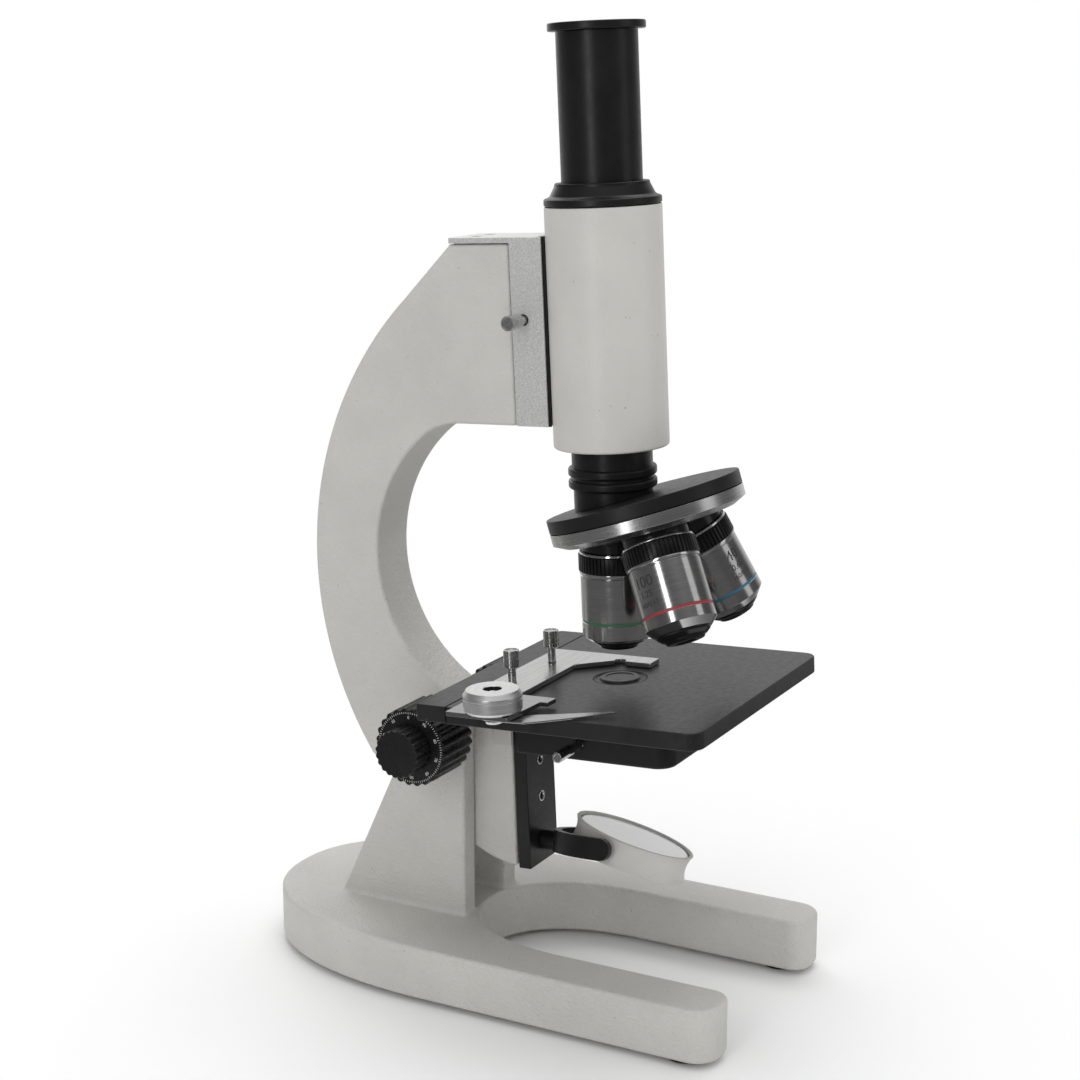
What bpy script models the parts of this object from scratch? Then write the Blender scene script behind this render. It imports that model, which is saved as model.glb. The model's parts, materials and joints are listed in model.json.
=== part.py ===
"""Monocular laboratory microscope with an inclining arm and a three-place
nosepiece.  Units are metres, +Z is up, -Y is the front (open side of the
horseshoe base) and X runs across the instrument.

Two frames are used.  The base frame carries the base casting and stands
level.  The arm frame carries everything that leans with the arm: its origin
is on the optical axis and its Z axis is the optical axis.
"""
import bpy
import bmesh
from math import sin, cos, tan, pi, radians, sqrt, atan2, asin, acos
from mathutils import Vector, Matrix

for old in list(bpy.data.objects):
    bpy.data.objects.remove(old, do_unlink=True)

MM = 0.001
GAP = 0.3                      # assembly gap left between touching pieces, mm

# ---------------------------------------------------------------- dimensions
# all driving dimensions in millimetres

# placement of the optical axis origin in the world
AXIS_X = 7.70
AXIS_Y = -35.95
AXIS_Z = 114.80

# base casting (base frame)
BASE_TOP = -94.8
BASE_BOTTOM = -112.8
BASE_HALF_W = 48.6             # outer half width
BASE_MID_Y = 46.5              # where the straight sides turn into the heel
BASE_HEEL_Y = 127.7            # rearmost point
LEG_TIP_Y = -55.8
LEG_INNER_X = 30.0
CROTCH_MID_Y = 4.6
CROTCH_Y = 48.9                # bottom of the U
CURVE_POWER = 2.25
FOOT_R = 6.2
FOOT_H = 2.0

# cheeks (base frame)
CHEEK_IN = 10.3
CHEEK_OUT = 17.95
CHEEK_FRONT_Y = 48.9
CHEEK_R = 10.2

# inclination axis
PIVOT_Y, PIVOT_Z = 58.70, -27.00      # in the arm frame
LEAN = 2.81                           # rest lean of the arm, degrees

# arm (arm frame)
ARM_HALF_W = 9.8
OUTER_C = (-13.7, 24.0)
OUTER_R = 124.6
INNER_C = (32.1, 29.3)
INNER_R = 53.4
HEAD_TOP_Z = 134.3
HEAD_LOW_Z = 76.0
HEAD_FRONT_Y = 29.5
COLUMN_FRONT_Y = 36.3
COLUMN_LOW_Z = -75.0

# head block and tube
BLOCK_FRONT_Y = 19.4
BODY_R = 18.6
BODY_Z0, BODY_Z1 = 69.3, 145.6
DRAW_R = 12.82
EYE_R = 15.3
EYE_Z0, EYE_Z1 = 199.0, 201.5
NECK_R = 13.05

# nosepiece
TURRET_TILT = 15.13
DISC_Y, DISC_Z = -10.2, 53.85
DISC_R = 31.9
OBJ_RING_R = 12.2
OBJ_R = 11.7
OBJ_TOP, OBJ_RING_LOW, OBJ_LOW, OBJ_TIP = 56.2, 62.7, 85.4, 88.6   # from the cone's apex

# stage
STAGE_HALF_W = 49.7
STAGE_FRONT_Y = -50.0
STAGE_REAR_Y = 48.6
STAGE_SEAM_Y = 37.35
STAGE_TOP, STAGE_BOTTOM = -7.85, -13.45
BRACKET_LOW = -26.0

# focusing drive
GEAR_N = 12
GEAR_M = 1.0
GEAR_PITCH_R = GEAR_N * GEAR_M / 2
IDLER_DIR = radians(211.5)            # from the pinion towards the idler, in YZ
IDLER_DIST = 12.15

COARSE_R = 13.3
COARSE_X0, COARSE_X1 = 20.1, 38.1
FINE_R = 8.1
FINE_X1 = 46.7

# mirror
POST_Z = -67.8
TRUNNION_Y, TRUNNION_Z = -1.4, -65.4
FORK_TURN = 16.8
MIRROR_TILT = 15.9
CELL_R = 20.6

FACETS = 0.52                  # share of each turned piece's full facet count

# ------------------------------------------------------------------ materials
def material(name, rgb, rough, metal=0.0, alpha=1.0):
    m = bpy.data.materials.new(name)
    m.use_nodes = True
    b = m.node_tree.nodes["Principled BSDF"]
    b.inputs["Base Color"].default_value = (*rgb, 1.0)
    b.inputs["Roughness"].default_value = rough
    b.inputs["Metallic"].default_value = metal
    m.diffuse_color = (*rgb, 1.0)
    return m

PAINT = material("grey_paint", (0.56, 0.555, 0.53), 0.45)
BLOCK = material("satin_casting", (0.62, 0.62, 0.62), 0.38, 0.9)
BLACK = material("black_anodised", (0.02, 0.02, 0.021), 0.4, 0.2)
STAGEM = material("black_stage", (0.035, 0.035, 0.036), 0.5)
STEEL = material("polished_steel", (0.72, 0.72, 0.71), 0.18, 1.0)
BRUSHED = material("brushed_steel", (0.66, 0.66, 0.655), 0.32, 1.0)
KNURL = material("black_knurl", (0.012, 0.012, 0.013), 0.35, 0.3)
PLASTIC = material("black_plastic", (0.012, 0.012, 0.012), 0.28)
RUBBER = material("black_rubber", (0.02, 0.02, 0.02), 0.7)
GLASS = material("optical_glass", (0.75, 0.82, 0.84), 0.04)
MIRROR = material("mirror_glass", (0.9, 0.9, 0.9), 0.05, 1.0)
BRASS = material("gear_brass", (0.72, 0.55, 0.25), 0.35, 1.0)

# ----------------------------------------------------------------- collections
PARTS = bpy.data.collections.new("microscope")
CUTS = bpy.data.collections.new("cutters")
bpy.context.scene.collection.children.link(PARTS)
bpy.context.scene.collection.children.link(CUTS)


def empty(name, parent=None, loc=(0, 0, 0), rot=None):
    e = bpy.data.objects.new(name, None)
    e.empty_display_size = 0.01
    PARTS.objects.link(e)
    e.parent = parent
    e.location = Vector(loc) * MM
    if rot is not None:
        e.rotation_euler = rot
    return e


def finish(ob, parent, loc, rot, mat, cutter=False, sharp=32):
    (CUTS if cutter else PARTS).objects.link(ob)
    ob.parent = parent
    ob.location = Vector(loc) * MM
    if rot is not None:
        ob.rotation_euler = rot
    if cutter:
        ob.hide_render = True
        ob.display_type = "WIRE"
    else:
        ob.data.materials.clear()
        ob.data.materials.append(mat)
        ob.data.shade_smooth()
        ob.data.set_sharp_from_angle(angle=radians(sharp))
    return ob


def turned(name, profile, parent, mat, loc=(0, 0, 0), rot=None, steps=40, cutter=False):
    """Turned piece: the profile (radius, height) runs down the outer side, and
    back up the bore when the piece is hollow.  A solid piece starts and ends
    on the axis."""
    me = bpy.data.meshes.new(name)
    bm = bmesh.new()
    vs = [bm.verts.new((r * MM, 0, z * MM)) for r, z in profile]
    for a, b in zip(vs, vs[1:]):
        bm.edges.new((a, b))
    if profile[0][0] > 1e-6:
        bm.edges.new((vs[-1], vs[0]))
    bm.to_mesh(me)
    bm.free()
    ob = bpy.data.objects.new(name, me)
    finish(ob, parent, loc, rot, mat, cutter)
    s = ob.modifiers.new("turn", "SCREW")
    s.axis = "Z"
    s.steps = max(12, 2 * round(steps * FACETS / 2))
    s.render_steps = s.steps
    s.use_merge_vertices = True
    s.merge_threshold = 0.00001
    s.use_smooth_shade = True
    return ob


def box(name, lo, hi, parent, mat, bevel=0.0, segs=2, cutter=False, loc=(0, 0, 0), rot=None):
    me = bpy.data.meshes.new(name)
    bm = bmesh.new()
    bmesh.ops.create_cube(bm, size=1.0)
    for v in bm.verts:
        v.co = Vector([(lo[i] + hi[i]) / 2 + v.co[i] * (hi[i] - lo[i]) for i in range(3)]) * MM
    bm.to_mesh(me)
    bm.free()
    ob = bpy.data.objects.new(name, me)
    finish(ob, parent, loc, rot, mat, cutter)
    if bevel:
        add_bevel(ob, bevel, segs)
    return ob


def add_bevel(ob, width, segs=2, angle=32):
    b = ob.modifiers.new("edge", "BEVEL")
    b.width = width * MM
    b.segments = segs
    b.limit_method = "ANGLE"
    b.angle_limit = radians(angle)
    b.harden_normals = False
    return b


def plate(name, outlines, thick, parent, mat, loc=(0, 0, 0), rot=None, bevel=0.0, segs=2,
          cutter=False, angle=32):
    """Flat outline (first loop outside, others holes) filled and extruded to
    the given thickness about its own plane, then made a welded mesh."""
    cu = bpy.data.curves.new(name, "CURVE")
    cu.dimensions = "2D"
    cu.fill_mode = "BOTH"
    cu.extrude = thick * MM / 2
    for loop in outlines:
        sp = cu.splines.new("POLY")
        sp.points.add(len(loop) - 1)
        for p, (x, y) in zip(sp.points, loop):
            p.co = (x * MM, y * MM, 0, 1)
        sp.use_cyclic_u = True
    tmp = bpy.data.objects.new(name + "_outline", cu)
    bpy.context.scene.collection.objects.link(tmp)
    dg = bpy.context.evaluated_depsgraph_get()
    me = bpy.data.meshes.new_from_object(tmp.evaluated_get(dg))
    bpy.data.objects.remove(tmp, do_unlink=True)
    bm = bmesh.new()
    bm.from_mesh(me)
    bmesh.ops.remove_doubles(bm, verts=bm.verts, dist=1e-6)
    bmesh.ops.recalc_face_normals(bm, faces=bm.faces)
    bm.to_mesh(me)
    bm.free()
    me.name = name
    ob = bpy.data.objects.new(name, me)
    finish(ob, parent, loc, rot, mat, cutter)
    if bevel:
        add_bevel(ob, bevel, segs, angle)
    return ob


def boolean(ob, other, op="DIFFERENCE"):
    m = ob.modifiers.new(op.lower(), "BOOLEAN")
    m.operation = op
    m.object = other
    m.solver = "EXACT"
    return m


def arc(c, r, a0, a1, n):
    """n + 1 points on an arc, angles in degrees."""
    return [(c[0] + r * cos(radians(a0 + (a1 - a0) * i / n)),
             c[1] + r * sin(radians(a0 + (a1 - a0) * i / n))) for i in range(n + 1)]


def bezier2(p0, p1, p2, n):
    out = []
    for i in range(1, n):
        t = i / n
        out.append(tuple((1 - t) ** 2 * a + 2 * t * (1 - t) * b + t * t * c for a, b, c in zip(p0, p1, p2)))
    return out


def rounded_rect(x0, y0, x1, y1, radii, n=4):
    """Corners in order: (x0,y0), (x1,y0), (x1,y1), (x0,y1)."""
    pts = []
    corners = [(x0, y0, 180, 1, 1), (x1, y0, 270, -1, 1), (x1, y1, 0, -1, -1), (x0, y1, 90, 1, -1)]
    for (x, y, a, sx, sy), r in zip(corners, radii):
        if r <= 0:
            pts.append((x, y))
        else:
            pts += arc((x + sx * r, y + sy * r), r, a, a + 90, n)
    return pts


def circle(r, n, cx=0.0, cy=0.0, phase=0.0):
    return [(cx + r * cos(2 * pi * i / n + phase), cy + r * sin(2 * pi * i / n + phase)) for i in range(n)]


def scallops(r, depth, count, per=4):
    """Grip outline: round lobes with narrow hollows between them."""
    pts = []
    for i in range(count * per):
        a = 2 * pi * i / (count * per)
        u = (i % per) / per
        pts.append(((r - depth * (1 - abs(sin(pi * u)))) * cos(a), (r - depth * (1 - abs(sin(pi * u)))) * sin(a)))
    return pts


def knurl(r, depth, count):
    pts = []
    for i in range(count):
        for f, rr in ((-0.30, r - depth), (-0.18, r), (0.18, r), (0.30, r - depth)):
            a = 2 * pi * (i + f) / count
            pts.append((rr * cos(a), rr * sin(a)))
    return pts


def gear(n, m, phase):
    """Straight-sided gear outline, tooth centres at phase + k * pitch."""
    r = n * m / 2
    pts = []
    for i in range(n):
        a = phase + 2 * pi * i / n
        for rr, half in ((r - 1.15 * m, 0.95), (r + 0.8 * m, 0.30)):
            pts.append((rr, a - half * m / r))
        for rr, half in ((r + 0.8 * m, 0.30), (r - 1.15 * m, 0.95)):
            pts.append((rr, a + half * m / r))
    return [(rr * cos(a), rr * sin(a)) for rr, a in pts]


# local X,Y of a plate become the instrument's Y,Z, and its thickness runs on X
SIDE = (radians(90), 0, radians(90))
# a turned piece whose axis runs along +X / -X / -Y
ALONG_X = (0, radians(90), 0)
ALONG_NX = (0, radians(-90), 0)
ALONG_NY = (radians(90), 0, 0)

# -------------------------------------------------------------------- frames
ROOT = empty("instrument_frame", None, (AXIS_X, AXIS_Y, AXIS_Z))
lean = radians(LEAN)
PB_Y = PIVOT_Y * cos(lean) + PIVOT_Z * sin(lean)
PB_Z = -PIVOT_Y * sin(lean) + PIVOT_Z * cos(lean)
TILT = empty("inclination_axis", ROOT, (0, PB_Y, PB_Z), (-lean, 0, 0))
ARM = empty("arm_frame", TILT, (0, -PIVOT_Y, -PIVOT_Z))

# ------------------------------------------------------------- base casting
def heel(n, half_w, mid_y, end_y, power, sign=1):
    """Quarter of a superellipse from (half_w, mid_y) to (0, end_y)."""
    pts = []
    for i in range(n + 1):
        t = (pi / 2) * i / n
        x = half_w * abs(cos(t)) ** (2 / power)
        y = mid_y + (end_y - mid_y) * abs(sin(t)) ** (2 / power)
        pts.append((x, y))
    return pts


outer = heel(11, BASE_HALF_W, BASE_MID_Y, BASE_HEEL_Y, CURVE_POWER)
inner = heel(9, LEG_INNER_X, CROTCH_MID_Y, CROTCH_Y, CURVE_POWER)
tip = (arc((LEG_INNER_X + 6.6, LEG_TIP_Y + 6.6), 6.6, 180, 270, 4)
       + arc((BASE_HALF_W - 8.4, LEG_TIP_Y + 8.4), 8.4, 270, 360, 5))
right = list(reversed(inner)) + tip + outer          # from crotch, round the right leg, to the heel
left = [(-x, y) for x, y in reversed(right)][1:-1]
base = plate("base_casting", [right + left], BASE_TOP - BASE_BOTTOM, ROOT, PAINT,
             loc=(0, 0, (BASE_TOP + BASE_BOTTOM) / 2), bevel=2.2, segs=1, angle=50)

cheek_tan = radians(24.8)       # rear edge of a cheek leans this much from upright
rear_n = (cos(cheek_tan), sin(cheek_tan))
heel_y = PB_Y + CHEEK_R * rear_n[0] + (PB_Z + CHEEK_R * rear_n[1] - (BASE_TOP - 3)) * tan(cheek_tan)
front_r = PB_Y - CHEEK_FRONT_Y
cheek_outline = ([(CHEEK_FRONT_Y, BASE_TOP - 3)]
                 + [(heel_y, BASE_TOP - 3)]
                 + arc((PB_Y, PB_Z), CHEEK_R, 24.8, 90, 6)
                 + arc((PB_Y, PB_Z + CHEEK_R - front_r), front_r, 90, 180, 6)[1:])
bore = turned("cheek_bore", [(0, 30), (5.6, 30), (5.6, -30), (0, -30)], ROOT, None,
              loc=(0, PB_Y, PB_Z), rot=ALONG_X, steps=32, cutter=True)
for side in (-1, 1):
    ck = plate("cheek_%s" % ("left" if side < 0 else "right"), [cheek_outline], CHEEK_OUT - CHEEK_IN,
               ROOT, None, loc=(side * (CHEEK_OUT + CHEEK_IN) / 2, 0, 0), rot=SIDE,
               bevel=1.1, segs=1, cutter=True)
    boolean(base, ck, "UNION")
boolean(base, bore)

for name, x, y in (("foot_front_left", -39.5, -43.5), ("foot_front_right", 39.5, -43.5),
                   ("foot_rear_left", -26.0, 95.0), ("foot_rear_right", 26.0, 95.0)):
    turned(name, [(0, BASE_BOTTOM - 0.05), (FOOT_R, BASE_BOTTOM - 0.05), (FOOT_R, BASE_BOTTOM - FOOT_H + 0.6),
                  (FOOT_R - 0.6, BASE_BOTTOM - FOOT_H), (0, BASE_BOTTOM - FOOT_H)],
           ROOT, RUBBER, loc=(x, y, 0), steps=32)

# --------------------------------------------------------------- arm casting
arm_low_c = (33.5, -37.2)
arm_low_r = 37.85
arm_outline = (
    [(HEAD_FRONT_Y, HEAD_LOW_Z), (HEAD_FRONT_Y, HEAD_TOP_Z), (51.2, HEAD_TOP_Z)]
    + arc(OUTER_C, OUTER_R, 48.0, -31.5, 14)
    + arc(arm_low_c, arm_low_r, -58.0, -85.0, 4)
    + arc(INNER_C, INNER_R, -85.5, 52.0, 15)
    + bezier2((64.98, 71.38), (59.0, HEAD_LOW_Z), (50.5, HEAD_LOW_Z), 5)
    + [(50.5, HEAD_LOW_Z)])
arm = plate("arm_casting", [arm_outline], 2 * ARM_HALF_W, ARM, PAINT, rot=SIDE, bevel=1.3, segs=1)
IDLER_Y = PIVOT_Y + IDLER_DIST * cos(IDLER_DIR)
IDLER_Z = PIVOT_Z + IDLER_DIST * sin(IDLER_DIR)
RACK_PITCH_Y = IDLER_Y - GEAR_PITCH_R - 0.08
chan = box("rack_channel", (-4.0, COLUMN_FRONT_Y - 3, -90), (4.0, RACK_PITCH_Y + 2.0, -5), ARM, None, cutter=True)
boolean(arm, chan)
for nm, y, z, r, h in (("pinion_pocket", PIVOT_Y, PIVOT_Z, 7.6, 4.6), ("idler_pocket", IDLER_Y, IDLER_Z, 7.5, 4.35),
                       ("arm_bore", PIVOT_Y, PIVOT_Z, 5.5, 30)):
    c = turned(nm, [(0, h), (r, h), (r, -h), (0, -h)], ARM, None, loc=(0, y, z), rot=ALONG_X,
               steps={"pinion_pocket": 36, "idler_pocket": 30, "arm_bore": 32}[nm], cutter=True)
    boolean(arm, c)
axle_bore = turned("idler_axle_bore", [(0, 7.4), (1.8, 7.4), (1.8, -7.4), (0, -7.4)], ARM, None,
                   loc=(0, IDLER_Y, IDLER_Z), rot=ALONG_X, steps=20, cutter=True)
boolean(arm, axle_bore)
for mod in arm.modifiers:
    if mod.type == "BOOLEAN":
        mod.solver = "MANIFOLD"

for side, s in (("left", -1), ("right", 1)):
    turned("hinge_bush_%s" % side, [(5.2, 6.25), (5.2, -6.25), (3.45, -6.25), (3.45, 6.25)], ARM, STEEL,
           loc=(s * 11.55, PIVOT_Y, PIVOT_Z), rot=ALONG_X, steps=32)

# -------------------------------------------------------- head block and tube
block_outline = [(BLOCK_FRONT_Y, HEAD_LOW_Z), (HEAD_FRONT_Y - GAP, HEAD_LOW_Z), (HEAD_FRONT_Y - GAP, HEAD_TOP_Z + GAP),
                 (51.3, HEAD_TOP_Z + GAP), (51.3, HEAD_TOP_Z + 2.2), (BLOCK_FRONT_Y, HEAD_TOP_Z + 2.2)]
blk = plate("head_mount_block", [block_outline], 2 * ARM_HALF_W, ARM, BLOCK, rot=SIDE, bevel=0.35, segs=1)
HCS_Y, HCS_Z = 24.9, 110.3
hcs = turned("head_clamp_bore", [(0, 20), (1.85, 20), (1.85, 5.0), (0, 5.0)], ARM, None, loc=(0, HCS_Y, HCS_Z),
             rot=ALONG_NX, steps=20, cutter=True)
boolean(blk, hcs)
for side, x in (("left", -4.4), ("right", 4.4)):
    hole = turned("cap_screw_hole_" + side, [(0, HEAD_TOP_Z + 5), (2.0, HEAD_TOP_Z + 5), (2.0, HEAD_TOP_Z + 1.1), (0, HEAD_TOP_Z + 1.1)],
                  ARM, None, loc=(x, 43.6, 0), steps=20, cutter=True)
    boolean(blk, hole)
    turned("cap_screw_" + side, [(0, HEAD_TOP_Z + 2.3), (1.3, HEAD_TOP_Z + 2.2), (1.7, HEAD_TOP_Z + 1.9), (1.7, HEAD_TOP_Z + 1.4), (0, HEAD_TOP_Z + 1.4)],
           ARM, STEEL, loc=(x, 43.6, 0), steps=20)
tube = turned("body_tube", [(BODY_R - 0.5, BODY_Z1), (BODY_R, BODY_Z1 - 0.5), (BODY_R, BODY_Z0 + 0.5), (BODY_R - 0.5, BODY_Z0),
                            (13.6, BODY_Z0), (13.6, BODY_Z0 + 12), (15.8, BODY_Z0 + 14), (15.8, BODY_Z1)],
              ARM, PAINT, steps=56)
# backing plate between the head block and the tube: concave face on the tube side
n = 6
half = 8.9
a0 = asin(half / (BODY_R + GAP))
saddle = [(half, BLOCK_FRONT_Y - GAP), (-half, BLOCK_FRONT_Y - GAP)]
saddle += [((BODY_R + GAP) * sin(-a0 + 2 * a0 * i / n), (BODY_R + GAP) * cos(-a0 + 2 * a0 * i / n)) for i in range(n + 1)]
plate("dovetail_plate", [saddle], HEAD_TOP_Z + 2.2 - HEAD_LOW_Z, ARM, BLACK,
      loc=(0, 0, (HEAD_TOP_Z + 2.2 + HEAD_LOW_Z) / 2))

turned("tube_collar", [(DRAW_R + 2.0, 152.9), (DRAW_R + 2.4, 152.4), (BODY_R - 1.6, 149.0), (BODY_R, 148.0), (BODY_R, BODY_Z1 + GAP),
                       (15.5, BODY_Z1 + GAP), (15.5, BODY_Z1 - 9), (DRAW_R + GAP, BODY_Z1 - 9), (DRAW_R + GAP, 152.9)],
       ARM, BLACK, steps=48)
turned("draw_tube", [(DRAW_R, EYE_Z0 - GAP), (DRAW_R, BODY_Z1 - 20), (11.7, BODY_Z1 - 20), (11.7, EYE_Z0 - GAP)],
       ARM, BLACK, steps=48)
eyepiece_axis = empty("eyepiece_axis", ARM, (0, 0, EYE_Z0))
turned("eyepiece_shell", [(EYE_R - 0.4, EYE_Z1 - EYE_Z0), (EYE_R, EYE_Z1 - EYE_Z0 - 0.4), (EYE_R, 0.4), (EYE_R - 0.4, 0),
                          (11.3, 0), (11.3, -34), (9.9, -34), (9.9, -2.0), (9.9, 0.9), (10.6, EYE_Z1 - EYE_Z0)],
       eyepiece_axis, BLACK, steps=48)
turned("eye_lens", [(0, 0.45), (5.0, 0.25), (9.5, -0.5), (9.5, -2.2), (0, -2.2)], eyepiece_axis, GLASS, steps=32)
turned("field_lens", [(0, -29.8), (9.5, -31.0), (9.5, -32.6), (0, -32.6)], eyepiece_axis, GLASS, steps=32)

# thumbscrew of the head block, axis along -X
def thumbscrew(name, parent, loc, rot, head_r, head_len, shank_r, shank_len, tip_r, tip_len, mat, n=9):
    """Knurled head at the outer end (local +Z), shank behind it, thread at the bottom."""
    ob = plate(name, [knurl(head_r, 0.22, n)], head_len, parent, mat, loc=loc, rot=rot)
    for v in ob.data.vertices:
        v.co.z += (shank_len + head_len / 2) * MM
    sh = turned(name + "_shank", [(0, shank_len + 0.5), (shank_r, shank_len + 0.5), (shank_r, 0), (tip_r, 0),
                                  (tip_r, -tip_len), (0, -tip_len)], parent, None, loc=loc, rot=rot, steps=16, cutter=True)
    boolean(ob, sh, "UNION")
    return ob


thumbscrew("head_clamp_screw", ARM, (-ARM_HALF_W, HCS_Y, HCS_Z), ALONG_NX, 2.45, 7.0, 1.35, 3.6, 1.4, 4.2, STEEL)

# ----------------------------------------------------------------- nosepiece
tau = radians(TURRET_TILT)
apex_z = DISC_Z - DISC_Y / tan(tau)
disc_depth = -DISC_Y / sin(tau)             # apex to the cover's top face
# local frame whose origin is the cone's apex and whose -Z runs down the turret's axis
TURRET = empty("turret_axis", ARM, (0, 0, apex_z), (-tau, 0, 0))
D = -disc_depth
neck = turned("nosepiece_neck", [(NECK_R, BODY_Z0 + 11), (NECK_R, 62.9), (14.3, 62.5), (14.3, 60.3), (NECK_R, 59.9),
                                 (NECK_R, 59.0), (14.3, 58.6), (14.3, 56.4), (12.7, 56.0), (12.7, 38.0),
                                 (9.6, 38.0), (9.6, BODY_Z0 + 11)], ARM, BLACK, steps=44)
boolean(neck, turned("neck_trim", [(0, D + GAP), (60, D + GAP), (60, D - 80), (0, D - 80)], TURRET, None, steps=32, cutter=True))

cover = turned("nosepiece_cover", [(0, D), (DISC_R - 0.4, D), (DISC_R, D - 0.4), (DISC_R, D - 4.35), (0, D - 4.35)],
               TURRET, BLACK, steps=64)
light_path = turned("light_path", [(0, 60), (6.6, 60), (6.6, 20), (0, 20)], ARM, None, steps=32, cutter=True)
boolean(cover, light_path)
turret_pin = turned("cover_pin_hole", [(0, D + 5), (2.9, D + 5), (2.9, D - 20), (0, D - 20)], TURRET, None, steps=24, cutter=True)
boolean(cover, turret_pin)

turret = turned("nosepiece_turret",
                [(0, D - 4.65), (DISC_R, D - 4.65), (DISC_R, D - 8.4), (DISC_R - 3.6, D - 10.2),
                 (24.6, D - 10.2), (5.6, D - 15.6), (0, D - 15.6)],
                TURRET, STEEL, steps=64)
boolean(turret, turned("turret_pin_hole", [(0, D + 5), (2.9, D + 5), (2.9, D - 30), (0, D - 30)], TURRET, None, steps=24, cutter=True))
turned("turret_pivot_screw", [(0, D - 0.6), (2.6, D - 0.6), (2.6, D - 15.9), (4.4, D - 15.9), (4.4, D - 17.2), (3.8, D - 17.8), (0, D - 17.8)],
       TURRET, STEEL, steps=24)

OBJ = []
names = ("low", "high", "medium")
for i, nm in enumerate(names):
    # each objective leans by the same angle about the apex; the first is on the optical axis
    spin = empty("objective_clock_" + nm, TURRET, (0, 0, 0), (0, 0, radians(120 * i)))
    ax = empty("objective_axis_" + nm, spin, (0, 0, 0), (tau, 0, 0))
    T, RL, L, TP = -OBJ_TOP, -OBJ_RING_LOW, -OBJ_LOW, -OBJ_TIP
    bore = turned("seat_" + nm, [(0, D + 20), (9.9, D + 20), (9.9, T - 20), (0, T - 20)], ax, None, steps=32, cutter=True)
    boolean(turret, bore)
    turned("objective_%s_barrel" % nm,
           [(9.55, T + 5.2), (9.55, T + 0.1), (OBJ_RING_R - 1.5, T + 0.1), (OBJ_RING_R - 1.5, RL - 0.1),
            (OBJ_R - 0.3, RL - 0.3), (OBJ_R, RL - 0.8), (OBJ_R, L + 1.4), (OBJ_R - 1.3, L),
            (8.3, L), (8.3, T + 5.2)],
           ax, STEEL, steps=44)
    plate("objective_%s_grip_ring" % nm, [knurl(OBJ_RING_R, 0.35, 22), list(reversed(circle(OBJ_RING_R - 1.15, 22)))],
          OBJ_RING_LOW - OBJ_TOP - 0.4, ax, KNURL, loc=(0, 0, (T + RL) / 2))
    turned("objective_%s_nose" % nm,
           [(0, L + 6.0), (8.0, L + 6.0), (8.0, L - 0.3), (6.6, TP + 0.7), (5.2, TP), (3.4, TP), (2.9, TP + 0.5), (0, TP + 0.6)],
           ax, BLACK, steps=36)

# ------------------------------------------------------------- focusing drive
def x_shaft(name, r0, r1, half, parent, mat, loc, steps=24):
    prof = [(r1, half), (r1, -half), (r0, -half), (r0, half)] if r0 > 0 else [(0, half), (r1, half), (r1, -half), (0, -half)]
    return turned(name, prof, parent, mat, loc=loc, rot=ALONG_X, steps=steps)


PIV = (0, PIVOT_Y, PIVOT_Z)
drive_axis = empty("focus_shaft_axis", ARM, PIV)
pinion_phase = IDLER_DIR
pin = plate("coarse_pinion_shaft", [gear(GEAR_N, GEAR_M, pinion_phase)], 7.0, drive_axis, BRASS, rot=SIDE)
tube_shaft = x_shaft("pinion_tube", 0, 3.1, 37.4, drive_axis, None, (0, 0, 0), 24)
CUTS.objects.link(tube_shaft); PARTS.objects.unlink(tube_shaft); tube_shaft.hide_render = True; tube_shaft.display_type = "WIRE"
boolean(pin, tube_shaft, "UNION")
hollow = turned("pinion_hollow", [(0, 60), (1.9, 60), (1.9, -60), (0, -60)], drive_axis, None, rot=ALONG_X, steps=20, cutter=True)
boolean(pin, hollow)
x_shaft("fine_shaft", 0, 1.55, 44.5, drive_axis, STEEL, (0, 0, 0), 20)
for side, s in (("left", -1), ("right", 1)):
    mid = s * (COARSE_X0 + COARSE_X1) / 2
    ck = plate("coarse_knob_" + side, [scallops(COARSE_R, 0.9, 20, 3), list(reversed(circle(3.5, 16)))],
               COARSE_X1 - COARSE_X0, drive_axis, PLASTIC, loc=(mid, 0, 0), rot=SIDE)
    fk_ = plate("fine_knob_" + side, [scallops(FINE_R, 0.6, 16, 3)], FINE_X1 - COARSE_X1 - GAP, drive_axis, PLASTIC,
                loc=(s * (COARSE_X1 + GAP + FINE_X1) / 2, 0, 0), rot=SIDE)
    fh = turned("fine_bore_" + side, [(0, 46), (1.85, 46), (1.85, 44.9 - 12), (0, 44.9 - 12)], drive_axis, None,
                rot=ALONG_X if s > 0 else ALONG_NX, steps=20, cutter=True)
    fh.location.x = -s * 1.1 * MM
    boolean(fk_, fh)

idler_axis = empty("idler_axis", ARM, (0, IDLER_Y, IDLER_Z))
idler = plate("idler_gear", [gear(GEAR_N, GEAR_M, IDLER_DIR + pi + pi / GEAR_N)], 7.0, idler_axis, BRASS, rot=SIDE)
ia = x_shaft("idler_stub", 0, 1.5, 7.1, idler_axis, None, (0, 0, 0), 20)
CUTS.objects.link(ia); PARTS.objects.unlink(ia); ia.hide_render = True; ia.display_type = "WIRE"
boolean(idler, ia, "UNION")

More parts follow.
